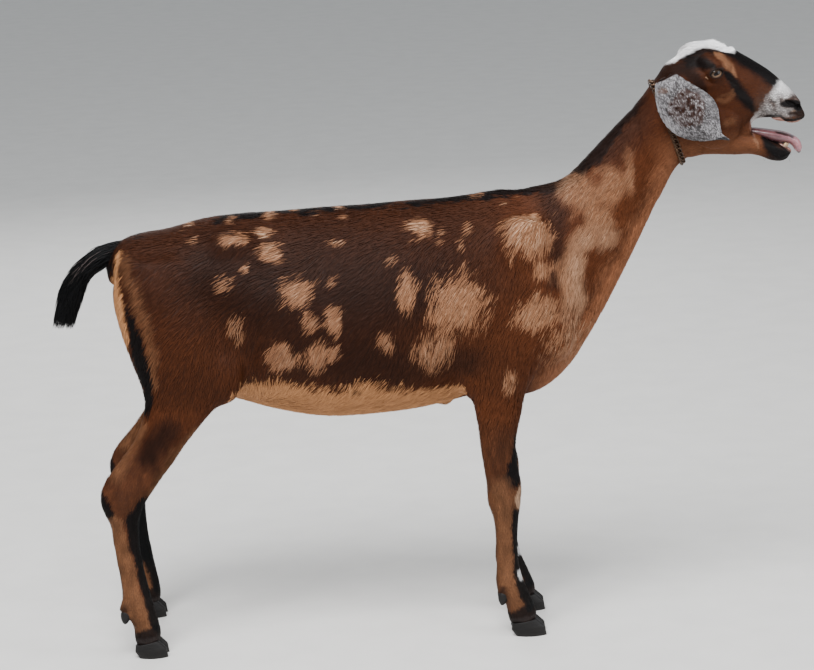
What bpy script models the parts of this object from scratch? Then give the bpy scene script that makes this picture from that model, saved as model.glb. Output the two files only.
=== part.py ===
"""A standing Mini Nubian doe, life size, bleating with her head raised.

Metres, +Z up, +X from tail to muzzle, +Y to the doe's left. The floor is z = 0 and the origin is
on it, under the middle of the whole length. The flesh is lofted from side-view outline pairs and
rounded masses, fused into one surface, and parted with thin cuts into torso, neck, head, jaw and
legs. Hooves, dewclaws, eyes, ears, tongue, teeth, tail and collar are bodies of their own.
"""

import math

import bmesh
import bpy
import numpy as np
from mathutils import Matrix, Vector
from mathutils.bvhtree import BVHTree

# Driving sizes
GAP = 0.0003
CLEARANCE = 0.0006
RIGHT, LEFT = -1, 1
SIDE_NAMES = {RIGHT: "right", LEFT: "left"}

FORE_STANCE = 0.066
HIND_STANCE = 0.105
FAR_FORE_LEAD = 0.005
FAR_HIND_LAG = 0.018

BODY_VOXEL = 0.005
BODY_EASING = 5
BARREL_EASING = 26
BARREL_LOW_Z, BARREL_HIGH_Z = 0.375, 0.455
HEAD_VOXEL = 0.0022
HEAD_EASING = 4
BODY_TRIANGLES = 4700
HEAD_TRIANGLES = 2350
SCRAP_VERTICES = 12

EYE_CENTRE = Vector((0.447, 0.0445, 0.871))
EYE_RADIUS = 0.0125
LID_THICKNESS = 0.0020
EYE_SLIT_LENGTH = 0.0225
EYE_SLIT_HEIGHT = 0.0140
EYE_SLIT_TILT = math.radians(14)
EYE_GAZE = (0.22, 0.96, 0.10)
EYE_OPENING_DEPTHS = (0.004, 0.022)

CORONET_REAR_Z = 0.020
CORONET_FRONT_Z = 0.030
FORE_HEEL_X, FORE_TOE_X = 0.109, 0.167
HIND_HEEL_X, HIND_TOE_X = -0.480, -0.426
CLAW_OFFSET = 0.0124
CLAW_HALF_WIDTH = 0.0112

COLLAR_THROAT = Vector((0.3965, 0, 0.7375))
COLLAR_NAPE = Vector((0.3530, 0, 0.8570))
COLLAR_LINKS = 30
COLLAR_LEAN = math.radians(42)
COLLAR_WIRE = 0.0020
COLLAR_LINK_WIDTH = 0.0100
COLLAR_LINK_LENGTH = 0.0155
COLLAR_STAND_OFF = 0.0064
COLLAR_EASING = 12
LINK_TURNS, LINK_SIDES = 6, 3

TAIL_LOCKS = 23
TAIL_CORE_SHARE = 0.50
TAIL_SEED = 7
LOCK_HALF_WIDTHS = (0.0066, 0.0086)
LOCK_FLATNESS = 0.34
# Rows along a lock: how far along it, its share of full width, and its share of the way out from
# the tail's middle line to the outline.
LOCK_ROWS = ((0.0, 0.60, 0.34), (0.40, 1.0, 0.92), (1.0, 0.30, 1.0))

# A claw's levels, sole to top: rear inset and front inset as shares of its length, share of width.
CLAW_LEVELS = ((0.13, 0.00, 0.92), (0.04, 0.06, 1.0), (0.0, 0.26, 0.93))
CLAW_TAPER = 0.42
CLEFT_SIDE_SHARE = 0.86
DEWCLAW_RADII = (0.0088, 0.0068, 0.0115)
DEWCLAW_PITCH = -22
DEWCLAW_BACK, DEWCLAW_SPREAD, DEWCLAW_Z = 0.012, 0.0125, 0.064

TEETH = 8
TOOTH_RADII = (0.0022, 0.0021, 0.0048)
TEETH_PITCH = 30
TEETH_FIRST_ANGLE, TEETH_STEP = -56, 16
TEETH_ARCH = Vector((0.5505, 0, 0.7520))
TEETH_ARCH_LENGTH, TEETH_ARCH_HALF_WIDTH, TEETH_ARCH_DROP = 0.0115, 0.0135, 0.003
GUM_CENTRE, GUM_RADII = (0.5545, 0, 0.7510), (0.0095, 0.0150, 0.0035)

FAR_EAR_SHIFT = (0.012, -0.010)
EAR_EDGE_THINNING = 0.55

# A section is (lower x, lower z, upper x, upper z, half width, centre y, widest point as a share of
# the way up, lower roundness, upper roundness). Roundness 2 is an ellipse and less is more pointed.
TORSO = [
    (-0.492, 0.588, -0.489, 0.622, 0.016, 0, 0.50, 2.0, 2.0),
    (-0.470, 0.535, -0.479, 0.640, 0.050, 0, 0.60, 2.0, 2.0),
    (-0.440, 0.480, -0.450, 0.651, 0.072, 0, 0.62, 2.0, 2.0),
    (-0.400, 0.430, -0.400, 0.658, 0.085, 0, 0.64, 2.0, 1.9),
    (-0.350, 0.398, -0.350, 0.671, 0.094, 0, 0.64, 2.0, 1.8),
    (-0.300, 0.381, -0.300, 0.677, 0.102, 0, 0.58, 2.0, 1.8),
    (-0.250, 0.366, -0.250, 0.679, 0.113, 0, 0.50, 2.1, 1.75),
    (-0.200, 0.356, -0.200, 0.681, 0.124, 0, 0.45, 2.2, 1.7),
    (-0.150, 0.351, -0.150, 0.683, 0.130, 0, 0.43, 2.2, 1.7),
    (-0.090, 0.353, -0.090, 0.685, 0.131, 0, 0.43, 2.2, 1.7),
    (-0.030, 0.358, -0.030, 0.688, 0.126, 0, 0.44, 2.2, 1.7),
    (0.020, 0.366, 0.020, 0.690, 0.117, 0, 0.45, 2.1, 1.65),
    (0.065, 0.375, 0.065, 0.694, 0.106, 0, 0.46, 2.0, 1.6),
    (0.110, 0.374, 0.110, 0.701, 0.097, 0, 0.46, 2.0, 1.5),
    (0.150, 0.372, 0.150, 0.700, 0.090, 0, 0.45, 2.0, 1.5),
    (0.185, 0.387, 0.185, 0.706, 0.079, 0, 0.42, 2.0, 1.6),
    (0.215, 0.413, 0.205, 0.690, 0.062, 0, 0.42, 2.0, 1.8),
    (0.237, 0.442, 0.225, 0.640, 0.040, 0, 0.45, 2.0, 2.0),
    (0.246, 0.480, 0.240, 0.560, 0.014, 0, 0.50, 2.0, 2.0),
]
NECK = [
    (0.190, 0.410, 0.110, 0.690, 0.076, 0, 0.45, 2.0, 1.6),
    (0.232, 0.438, 0.170, 0.703, 0.067, 0, 0.45, 2.0, 1.6),
    (0.263, 0.484, 0.215, 0.715, 0.058, 0, 0.46, 2.0, 1.7),
    (0.289, 0.530, 0.244, 0.740, 0.051, 0, 0.48, 2.0, 1.8),
    (0.312, 0.573, 0.271, 0.767, 0.046, 0, 0.50, 2.0, 1.9),
    (0.333, 0.614, 0.295, 0.792, 0.042, 0, 0.50, 2.0, 1.9),
    (0.352, 0.652, 0.317, 0.812, 0.040, 0, 0.50, 2.0, 2.0),
    (0.371, 0.689, 0.338, 0.834, 0.038, 0, 0.52, 2.0, 2.0),
    (0.390, 0.722, 0.355, 0.855, 0.038, 0, 0.55, 2.0, 2.0),
    (0.415, 0.742, 0.378, 0.880, 0.041, 0, 0.60, 2.0, 2.0),
    (0.440, 0.755, 0.405, 0.885, 0.038, 0, 0.60, 2.0, 2.0),
]
CRANIUM = [
    (0.372, 0.800, 0.362, 0.862, 0.020, 0, 0.55, 2.0, 2.0),
    (0.392, 0.750, 0.377, 0.884, 0.038, 0, 0.60, 2.0, 2.0),
    (0.410, 0.737, 0.400, 0.899, 0.045, 0, 0.62, 2.0, 2.1),
    (0.430, 0.740, 0.423, 0.911, 0.049, 0, 0.66, 2.0, 2.2),
    (0.455, 0.740, 0.449, 0.912, 0.050, 0, 0.68, 1.9, 2.3),
    (0.476, 0.741, 0.477, 0.904, 0.046, 0, 0.66, 1.9, 2.2),
    (0.492, 0.757, 0.499, 0.892, 0.040, 0, 0.60, 2.0, 2.2),
    (0.505, 0.784, 0.517, 0.8805, 0.034, 0, 0.52, 2.2, 2.2),
    (0.516, 0.7935, 0.533, 0.8695, 0.030, 0, 0.48, 2.3, 2.2),
    (0.530, 0.7945, 0.549, 0.8560, 0.0275, 0, 0.46, 2.4, 2.2),
    (0.545, 0.7945, 0.563, 0.8425, 0.0265, 0, 0.44, 2.4, 2.2),
    (0.556, 0.7905, 0.5725, 0.8325, 0.0260, 0, 0.44, 2.4, 2.3),
    (0.568, 0.7880, 0.5805, 0.8215, 0.0250, 0, 0.44, 2.4, 2.3),
    (0.579, 0.7885, 0.5850, 0.8090, 0.0215, 0, 0.45, 2.3, 2.3),
    (0.587, 0.7915, 0.5895, 0.8000, 0.0140, 0, 0.50, 2.2, 2.2),
]
JAW = [
    (0.430, 0.742, 0.440, 0.800, 0.036, 0, 0.60, 2.0, 2.0),
    (0.458, 0.740, 0.466, 0.790, 0.037, 0, 0.55, 2.0, 2.0),
    (0.484, 0.7385, 0.490, 0.783, 0.033, 0, 0.50, 2.0, 2.0),
    (0.500, 0.7390, 0.508, 0.7760, 0.029, 0, 0.50, 2.0, 2.2),
    (0.513, 0.7370, 0.522, 0.7695, 0.0260, 0, 0.50, 2.0, 2.4),
    (0.524, 0.7335, 0.533, 0.7625, 0.0235, 0, 0.50, 2.0, 2.6),
    (0.535, 0.7285, 0.545, 0.7570, 0.0215, 0, 0.50, 2.0, 2.6),
    (0.547, 0.7270, 0.557, 0.7515, 0.0200, 0, 0.50, 2.0, 2.6),
    (0.559, 0.7315, 0.5665, 0.7460, 0.0165, 0, 0.50, 2.0, 2.4),
    (0.566, 0.7370, 0.5690, 0.7420, 0.0100, 0, 0.50, 2.0, 2.0),
]
FORE_LEG = [
    (0.060, 0.585, 0.190, 0.600, 0.022, 0.060, 0.50, 2.0, 2.0),
    (0.048, 0.520, 0.205, 0.550, 0.034, 0.060, 0.50, 2.0, 2.0),
    (0.048, 0.465, 0.195, 0.480, 0.036, 0.062, 0.50, 2.0, 2.0),
    (0.051, 0.420, 0.168, 0.430, 0.033, 0.063, 0.50, 2.0, 2.0),
    (0.059, 0.388, 0.147, 0.392, 0.029, 0.064, 0.50, 2.0, 2.0),
    (0.066, 0.350, 0.137, 0.352, 0.025, 0.065, 0.50, 2.0, 2.0),
    (0.070, 0.310, 0.128, 0.310, 0.021, 0.066, 0.55, 2.0, 2.0),
    (0.074, 0.275, 0.130, 0.272, 0.020, 0.066, 0.55, 2.0, 2.2),
    (0.078, 0.245, 0.134, 0.243, 0.022, 0.066, 0.60, 2.0, 2.4),
    (0.079, 0.215, 0.132, 0.213, 0.021, 0.066, 0.60, 2.0, 2.4),
    (0.087, 0.190, 0.128, 0.188, 0.017, 0.066, 0.60, 2.0, 2.2),
    (0.090, 0.155, 0.125, 0.153, 0.0145, 0.066, 0.60, 2.0, 2.2),
    (0.090, 0.115, 0.126, 0.117, 0.0145, 0.066, 0.55, 2.0, 2.2),
    (0.088, 0.086, 0.131, 0.091, 0.0180, 0.066, 0.50, 2.2, 2.2),
    (0.093, 0.068, 0.137, 0.076, 0.0195, 0.066, 0.50, 2.2, 2.2),
    (0.103, 0.048, 0.145, 0.056, 0.0190, 0.066, 0.50, 2.2, 2.2),
    (0.106, 0.028, 0.152, 0.036, 0.0220, 0.066, 0.50, 2.3, 2.3),
    (0.108, 0.008, 0.158, 0.012, 0.0220, 0.066, 0.50, 2.3, 2.3),
]
HIND_LEG = [
    (-0.470, 0.625, -0.350, 0.620, 0.026, 0.056, 0.50, 2.0, 2.0),
    (-0.489, 0.575, -0.315, 0.575, 0.042, 0.060, 0.50, 2.0, 2.0),
    (-0.484, 0.530, -0.298, 0.520, 0.047, 0.066, 0.50, 2.0, 2.0),
    (-0.473, 0.490, -0.290, 0.470, 0.045, 0.073, 0.50, 2.0, 2.0),
    (-0.460, 0.452, -0.292, 0.430, 0.040, 0.081, 0.52, 2.0, 2.0),
    (-0.448, 0.418, -0.313, 0.406, 0.033, 0.088, 0.55, 2.0, 2.0),
    (-0.447, 0.388, -0.338, 0.385, 0.028, 0.093, 0.55, 1.9, 2.0),
    (-0.456, 0.361, -0.362, 0.360, 0.0245, 0.096, 0.55, 1.9, 2.0),
    (-0.471, 0.336, -0.384, 0.333, 0.0215, 0.098, 0.60, 1.8, 2.0),
    (-0.491, 0.311, -0.402, 0.308, 0.0195, 0.100, 0.65, 1.7, 2.0),
    (-0.510, 0.288, -0.421, 0.285, 0.0190, 0.101, 0.68, 1.7, 2.0),
    (-0.520, 0.266, -0.438, 0.262, 0.0205, 0.102, 0.66, 1.8, 2.1),
    (-0.521, 0.249, -0.450, 0.245, 0.0220, 0.102, 0.60, 2.0, 2.2),
    (-0.516, 0.231, -0.459, 0.225, 0.0215, 0.103, 0.58, 2.0, 2.3),
    (-0.507, 0.210, -0.462, 0.204, 0.0180, 0.103, 0.58, 2.0, 2.3),
    (-0.504, 0.178, -0.462, 0.176, 0.0150, 0.104, 0.58, 2.0, 2.3),
    (-0.499, 0.140, -0.458, 0.140, 0.0145, 0.104, 0.58, 2.0, 2.3),
    (-0.495, 0.108, -0.452, 0.109, 0.0160, 0.105, 0.55, 2.2, 2.2),
    (-0.494, 0.084, -0.448, 0.089, 0.0190, 0.105, 0.50, 2.2, 2.2),
    (-0.488, 0.066, -0.444, 0.073, 0.0200, 0.105, 0.50, 2.2, 2.2),
    (-0.480, 0.047, -0.440, 0.055, 0.0190, 0.105, 0.50, 2.2, 2.2),
    (-0.479, 0.028, -0.437, 0.036, 0.0220, 0.105, 0.50, 2.3, 2.3),
    (-0.477, 0.008, -0.431, 0.012, 0.0220, 0.105, 0.50, 2.3, 2.3),
]
# The tail's sections run to the square end of its hair.
TAIL = [
    (-0.470, 0.610, -0.462, 0.645, 0.016, 0, 0.50, 2.0, 2.0),
    (-0.495, 0.602, -0.487, 0.640, 0.017, 0, 0.50, 2.0, 2.0),
    (-0.508, 0.594, -0.515, 0.632, 0.017, 0, 0.50, 2.0, 2.0),
    (-0.521, 0.586, -0.537, 0.617, 0.018, 0, 0.50, 2.0, 2.0),
    (-0.530, 0.573, -0.556, 0.599, 0.018, 0, 0.50, 2.0, 2.0),
    (-0.538, 0.552, -0.573, 0.575, 0.018, 0, 0.50, 2.0, 2.0),
    (-0.547, 0.530, -0.581, 0.549, 0.016, 0, 0.50, 2.0, 2.0),
    (-0.555, 0.507, -0.589, 0.510, 0.012, 0, 0.50, 2.0, 2.0),
]
TONGUE = [
    (0.5120, 0.7765, 0.5135, 0.7815, 0.008, 0, 0.50, 2.0, 2.0),
    (0.5220, 0.7715, 0.5250, 0.7785, 0.0135, 0, 0.50, 2.0, 2.2),
    (0.5360, 0.7640, 0.5400, 0.7745, 0.0155, 0, 0.50, 2.0, 2.2),
    (0.5500, 0.7590, 0.5560, 0.7705, 0.0155, 0, 0.50, 2.0, 2.2),
    (0.5605, 0.7580, 0.5700, 0.7655, 0.0150, 0, 0.50, 2.0, 2.2),
    (0.5680, 0.7515, 0.5805, 0.7590, 0.0135, 0, 0.50, 2.0, 2.2),
    (0.5735, 0.7435, 0.5845, 0.7480, 0.0110, 0, 0.50, 2.0, 2.2),
    (0.5785, 0.7375, 0.5835, 0.7400, 0.0065, 0, 0.50, 2.0, 2.0),
]
# The ear's outline, root to tip, as pairs: rear edge x and z, front edge x and z, then the y of the
# rear edge, the y of the front edge and how far the middle bulges out.
EAR = [
    (0.366, 0.862, 0.379, 0.876, 0.030, 0.034, 0.010),
    (0.356, 0.860, 0.388, 0.8745, 0.043, 0.051, 0.013),
    (0.3545, 0.846, 0.405, 0.8635, 0.050, 0.065, 0.014),
    (0.3575, 0.820, 0.4325, 0.8460, 0.055, 0.076, 0.014),
    (0.3680, 0.798, 0.4465, 0.8280, 0.058, 0.082, 0.013),
    (0.3900, 0.778, 0.4510, 0.8000, 0.064, 0.082, 0.010),
    (0.4200, 0.771, 0.4540, 0.7840, 0.070, 0.080, 0.005),
    (0.4510, 0.773, 0.4595, 0.7785, 0.077, 0.080, 0.001),
    (0.4640, 0.7715, 0.4660, 0.7740, 0.081, 0.082, 0.0),
]
EAR_THICKNESS = 0.0032

# Rounded masses over the bones and muscles: centre, radii and pitch in degrees about +Y.
BODY_MASSES = {
    "shoulder_blade": ((0.125, 0.058, 0.570), (0.058, 0.026, 0.105), 20),
    "shoulder_point": ((0.182, 0.050, 0.480), (0.045, 0.032, 0.052), 0),
    "hook_bone": ((-0.300, 0.056, 0.629), (0.046, 0.026, 0.030), 0),
    "pin_bone": ((-0.462, 0.032, 0.606), (0.030, 0.021, 0.027), 0),
    "haunch": ((-0.392, 0.064, 0.540), (0.085, 0.040, 0.088), 0),
    "stifle": ((-0.330, 0.086, 0.440), (0.046, 0.032, 0.050), 0),
    "elbow": ((0.064, 0.066, 0.405), (0.020, 0.020, 0.026), 0),
}
HEAD_MASSES = {
    "brow": ((0.448, 0.034, 0.880), (0.030, 0.020, 0.020), 15),
    "cheek": ((0.445, 0.032, 0.795), (0.046, 0.018, 0.042), 20),
    "nostril_wing": ((0.5690, 0.0150, 0.8225), (0.0150, 0.0105, 0.0070), 30),
    "lip_corner": ((0.494, 0.0225, 0.783), (0.016, 0.0105, 0.010), 0),
    "upper_lip": ((0.562, 0.0155, 0.7965), (0.026, 0.0115, 0.0075), 0),
    "lower_lip": ((0.548, 0.0120, 0.7460), (0.018, 0.0090, 0.0075), 25),
}
MIDLINE_MASSES = {
    "chin": ((0.549, 0, 0.7355), (0.0165, 0.0150, 0.0095), 0),
    "dental_pad": ((0.571, 0, 0.7905), (0.014, 0.016, 0.006), 0),
    "poll": ((0.432, 0, 0.898), (0.038, 0.028, 0.020), 0),
    "nose_tip": ((0.5725, 0, 0.8125), (0.0105, 0.017, 0.012), 0),
}
NOSTRIL_HOLLOWS = (
    ((0.5665, 0.0262, 0.8175), (0.0125, 0.0065, 0.0042), 27),
    ((0.5765, 0.0200, 0.8115), (0.0065, 0.0060, 0.0050), 10),
)
TORSO_MIDLINE_MASSES = {
    "perineum": ((-0.488, 0, 0.592), (0.015, 0.014, 0.026), 10),
    "navel": ((0.020, 0, 0.366), (0.014, 0.010, 0.010), 0),
}
TEATS = ((-0.335, 0.026, 0.378), (0.0065, 0.0065, 0.017), 20)

# Cuts between nodes. Each is a side-view outline, x and z, of the flesh on one side of the cut, and
# the way that side stands back from the cut.
HEAD_CUT = (((0.416, 0.694), (0.350, 0.904), (0.450, 0.960), (0.640, 0.960), (0.640, 0.694)), (1, 0, 0))
NECK_CUT = (((0.271, 0.370), (0.181, 0.800), (0.300, 1.000), (0.640, 1.000), (0.640, 0.370)), (1, 0, 0))
HIND_CUT = (((-0.574, 0.663), (-0.208, 0.293), (-0.290, -0.050), (-0.650, -0.050)), (0, 0, -1))
JAW_CUT = (((0.380, 0.7365), (0.5045, 0.7795), (0.640, 0.7795), (0.640, 0.680), (0.380, 0.680)), (0, 0, -1))
CUT_HALF_WIDTH = 0.20
# The fore leg's cut is a front-view outline, y and z, swept backwards.
FORE_CUT = ((0.016, 0.354), (0.125, 0.420), (0.125, -0.050), (0.016, -0.050))
FORE_CUT_FRONT_X, FORE_CUT_LENGTH = 0.190, 0.170

COLOURS = {
    "coat": (0.13, 0.045, 0.018),
    "ear": (0.42, 0.40, 0.42),
    "tail": (0.012, 0.011, 0.012),
    "horn": (0.045, 0.040, 0.038),
    "eye": (0.30, 0.17, 0.06),
    "tongue": (0.50, 0.20, 0.22),
    "tooth": (0.55, 0.42, 0.26),
    "chain": (0.10, 0.065, 0.04),
}


def clear_scene():
    for obj in list(bpy.data.objects):
        bpy.data.objects.remove(obj, do_unlink=True)


def material(slot, roughness=0.8, metallic=0.0):
    found = bpy.data.materials.get(slot)
    if found:
        return found
    made = bpy.data.materials.new(slot)
    made.use_nodes = True
    shader = made.node_tree.nodes["Principled BSDF"]
    shader.inputs["Base Color"].default_value = (*COLOURS[slot], 1)
    shader.inputs["Roughness"].default_value = roughness
    shader.inputs["Metallic"].default_value = metallic
    return made


def object_of(name, vertices, faces, collection):
    mesh = bpy.data.meshes.new(name)
    mesh.from_pydata([tuple(v) for v in vertices], [], [tuple(f) for f in faces])
    made = bpy.data.objects.new(name, mesh)
    collection.objects.link(made)
    return made


def outward(obj):
    """Turns every face of a closed mesh outwards."""
    work = bmesh.new()
    work.from_mesh(obj.data)
    bmesh.ops.recalc_face_normals(work, faces=work.faces)
    work.to_mesh(obj.data)
    work.free()
    return obj


def smooth_rows(rows, steps):
    """Rows of numbers with a Catmull-Rom curve through each column, steps rows to a span."""
    rows = np.asarray(rows, float)
    padded = np.vstack([2 * rows[0] - rows[1], rows, 2 * rows[-1] - rows[-2]])
    t = (np.arange(steps) / steps)[:, None]
    spans = []
    for a, b, c, d in zip(padded, padded[1:], padded[2:], padded[3:]):
        bend = 2 * a - 5 * b + 4 * c - d
        twist = -a + 3 * b - 3 * c + d
        spans.append(0.5 * (2 * b + (c - a) * t + bend * t**2 + twist * t**3))
    return np.vstack([*spans, rows[-1:]])


def signed_power(value, power):
    return np.sign(value) * np.abs(value) ** power


def loft_rings(sections, around, steps):
    """Rings of a loft: two half superellipses on each section's line from lower to upper point."""
    rows = smooth_rows(sections, steps)[:, None, :]
    lower_x, lower_z, upper_x, upper_z, half_width, centre_y, widest, low, high = np.moveaxis(rows, 2, 0)
    turn = np.linspace(0, 2 * math.pi, around, endpoint=False)[None, :]
    upper_half = np.sin(turn) >= 0
    power = 2 / np.where(upper_half, high, low)
    across = half_width * signed_power(np.cos(turn), power)
    share = np.where(upper_half, 1 - widest, widest) * signed_power(np.sin(turn), power) + widest
    x = lower_x + (upper_x - lower_x) * share
    z = lower_z + (upper_z - lower_z) * share
    return np.stack([x, centre_y + across, z], axis=-1)


def ring_walls(count, around):
    """The faces between neighbouring rings of a loft."""
    faces = []
    for ring in range(count - 1):
        for k in range(around):
            here, there = ring * around + k, ring * around + (k + 1) % around
            faces.append((here, there, there + around, here + around))
    return faces


def closed_loft(name, rings, collection):
    """A closed surface through rings of equal count, with a pole at each end."""
    count, around, _ = rings.shape
    points = np.vstack([rings.reshape(-1, 3), rings[0].mean(0), rings[-1].mean(0)])
    first_pole, last_pole = count * around, count * around + 1
    faces = ring_walls(count, around)
    last = (count - 1) * around
    for k in range(around):
        faces.append((first_pole, (k + 1) % around, k))
        faces.append((last_pole, last + k, last + (k + 1) % around))
    return outward(object_of(name, points, faces, collection))


def folded_loft(name, rings, collection):
    """A closed sheet: each ring runs out along one face and back along the other."""
    count, around, _ = rings.shape
    faces = ring_walls(count, around)
    for start, turned in ((0, True), ((count - 1) * around, False)):
        for k in range(around // 2 - 1):
            corners = (k, k + 1, around - 2 - k, around - 1 - k)
            cap = tuple(start + corner for corner in corners)
            faces.append(cap[::-1] if turned else cap)
    return outward(object_of(name, rings.reshape(-1, 3), faces, collection))


def leg_sections(sections, side):
    """A leg's sections on one side, with the far foot set where it stands."""
    placed = []
    for section in sections:
        row = list(section)
        row[5] *= side
        if side == LEFT:
            shift = far_foot_shift(sections is HIND_LEG, (row[1] + row[3]) / 2)
            row[0] += shift
            row[2] += shift
        placed.append(row)
    return placed


def far_foot_shift(hind, z):
    """How far forward the left leg stands of the right one at height z."""
    fade = max(0.0, 1 - z / 0.45)
    return -FAR_HIND_LAG * fade**1.6 if hind else FAR_FORE_LEAD * fade


def rounded_mass(name, centre, radii, pitch, collection, segments=20):
    work = bmesh.new()
    bmesh.ops.create_uvsphere(work, u_segments=segments, v_segments=segments // 2, radius=1)
    place = Matrix.Translation(centre) @ Matrix.Rotation(math.radians(pitch), 4, "Y")
    work.transform(place @ Matrix.Diagonal((*radii, 1)))
    mesh = bpy.data.meshes.new(name)
    work.to_mesh(mesh)
    work.free()
    made = bpy.data.objects.new(name, mesh)
    collection.objects.link(made)
    return made


def masses_both_sides(masses, collection):
    made = []
    for name, (centre, radii, pitch) in masses.items():
        for side in (RIGHT, LEFT):
            mirrored = (centre[0], centre[1] * side, centre[2])
            made.append(rounded_mass(name, mirrored, radii, pitch, collection))
    return made


def joined(name, pieces, collection):
    """One object that holds every piece's faces, for a remesh or a union to fuse."""
    work = bmesh.new()
    for piece in pieces:
        work.from_mesh(piece.data)
    mesh = bpy.data.meshes.new(name)
    work.to_mesh(mesh)
    work.free()
    remove(pieces)
    made = bpy.data.objects.new(name, mesh)
    collection.objects.link(made)
    return made


def remove(objects):
    for obj in objects:
        bpy.data.objects.remove(obj, do_unlink=True)


def apply_modifiers(obj):
    bpy.context.view_layer.update()
    graph = bpy.context.evaluated_depsgraph_get()
    mesh = bpy.data.meshes.new_from_object(obj.evaluated_get(graph))
    obj.modifiers.clear()
    obj.data = mesh
    return obj


def fused(name, pieces, voxel, easing, triangles, collection, barrel_easing=0):
    """The pieces as one smooth closed surface of about that many triangles."""
    whole = joined(name, pieces, collection)
    remesh = whole.modifiers.new("fuse", "REMESH")
    remesh.mode = "VOXEL"
    remesh.voxel_size = voxel
    apply_modifiers(whole)
    smooth = whole.modifiers.new("ease", "SMOOTH")
    smooth.factor = 0.5
    smooth.iterations = easing
    if barrel_easing:
        high = whole.vertex_groups.new(name="barrel")
        for vertex in whole.data.vertices:
            share = (vertex.co.z - BARREL_LOW_Z) / (BARREL_HIGH_Z - BARREL_LOW_Z)
            high.add([vertex.index], min(max(share, 0.0), 1.0), "REPLACE")
        blend = whole.modifiers.new("blend", "SMOOTH")
        blend.factor = 0.5
        blend.iterations = barrel_easing
        blend.vertex_group = "barrel"
    decimate = whole.modifiers.new("thin", "DECIMATE")
    decimate.ratio = triangles / (2 * len(whole.data.polygons))
    return apply_modifiers(whole)


def boolean(obj, operation, others):
    """obj joined with, or cut by, the other closed objects, which are then removed."""
    cutters = bpy.data.collections.new("cutters")
    bpy.context.scene.collection.children.link(cutters)
    for other in others:
        for home in list(other.users_collection):
            home.objects.unlink(other)
        cutters.objects.link(other)
        other.hide_render = True
        other.display_type = "WIRE"
    change = obj.modifiers.new(operation.lower(), "BOOLEAN")
    change.operation = operation
    change.operand_type = "COLLECTION"
    change.collection = cutters
    change.solver = "MANIFOLD"
    apply_modifiers(obj)
    remove(others)
    bpy.data.collections.remove(cutters)
    return obj


def grown_copy(obj, amount, collection):
    """A copy of obj whose surface lies that far outside it, to cut a neighbour clear of it."""
    copy = bpy.data.objects.new(obj.name + "_grown", obj.data.copy())
    collection.objects.link(copy)
    swell = copy.modifiers.new("grow", "DISPLACE")
    swell.mid_level = 0
    swell.strength = amount
    return apply_modifiers(copy)


def swept(corners, sweep, collection):
    """The closed solid that a flat outline makes when it is swept along a vector."""
    front = np.array([tuple(corner) for corner in corners])
    return closed_loft("sweep", np.array([front, front + np.array(sweep)]), collection)


def part_off(whole, corners, sweep, back, collection):
    """Takes the flesh inside a sweep away from whole, set back by a thin gap, and returns it."""
    piece = bpy.data.objects.new(whole.name + "_piece", whole.data.copy())
    collection.objects.link(piece)
    inside = [Vector(corner) + Vector(back) * GAP for corner in corners]
    boolean(piece, "INTERSECT", [swept(inside, sweep, collection)])
    boolean(whole, "DIFFERENCE", [swept(corners, sweep, collection)])
    return largest_part(piece, collection)


def side_cut(whole, outline, back, collection):
    """Parts off the flesh inside a side-view outline, right across the animal."""
    corners = [(x, -CUT_HALF_WIDTH, z) for x, z in outline]
    return part_off(whole, corners, (0, 2 * CUT_HALF_WIDTH, 0), back, collection)


def loose_parts(obj, collection):
    """Each closed surface of obj as an object of its own, largest first, scraps left out."""
    mesh = obj.data
    group = np.arange(len(mesh.vertices))
    ends = np.array([edge.vertices[:] for edge in mesh.edges])
    while True:
        lowest = group.copy()
        np.minimum.at(lowest, ends[:, 0], group[ends[:, 1]])
        np.minimum.at(lowest, ends[:, 1], group[ends[:, 0]])
        lowest = lowest[lowest]
        if np.array_equal(lowest, group):
            break
        group = lowest
    labels, sizes = np.unique(group, return_counts=True)
    parts = []
    for label in labels[np.argsort(-sizes, kind="stable")]:
        members = np.flatnonzero(group == label)
        if len(members) < SCRAP_VERTICES:
            continue
        place = {int(index): k for k, index in enumerate(members)}
        points = [mesh.vertices[int(i)].co for i in members]
        own = [p.vertices for p in mesh.polygons if group[p.vertices[0]] == label]
        faces = [[place[i] for i in corners] for corners in own]
        parts.append(object_of(obj.name + "_part", points, faces, collection))
    remove([obj])
    return parts


def largest_part(obj, collection):
    parts = loose_parts(obj, collection)
    remove(parts[1:])
    return parts[0]


def named(obj, name, slot, **finish):
    obj.name = name
    obj.data.name = name
    obj.data.materials.clear()
    obj.data.materials.append(material(slot, **finish))
    obj.data.shade_smooth()
    return obj


def body_pieces(collection):
    """The closed lofts and masses of the whole animal below the head cut, and the head's core."""
    pieces = [
        closed_loft("torso", loft_rings(TORSO, 40, 4), collection),
        closed_loft("neck", loft_rings(NECK, 32, 4), collection),
    ]
    for side in (RIGHT, LEFT):
        for sections in (FORE_LEG, HIND_LEG):
            rings = loft_rings(leg_sections(sections, side), 24, 4)
            pieces.append(closed_loft("leg", rings, collection))
    for name, (centre, radii, pitch) in TORSO_MIDLINE_MASSES.items():
        pieces.append(rounded_mass(name, centre, radii, pitch, collection))
    pieces += masses_both_sides({"teat": TEATS}, collection)
    return pieces + masses_both_sides(BODY_MASSES, collection)


def head_pieces(collection):
    pieces = [
        closed_loft("neck", loft_rings(NECK[-6:], 32, 4), collection),
        closed_loft("cranium", loft_rings(CRANIUM, 36, 4), collection),
        closed_loft("jaw", loft_rings(JAW, 28, 4), collection),
    ]
    for name, (centre, radii, pitch) in MIDLINE_MASSES.items():
        pieces.append(rounded_mass(name, centre, radii, pitch, collection))
    return pieces + masses_both_sides(HEAD_MASSES, collection)


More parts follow.
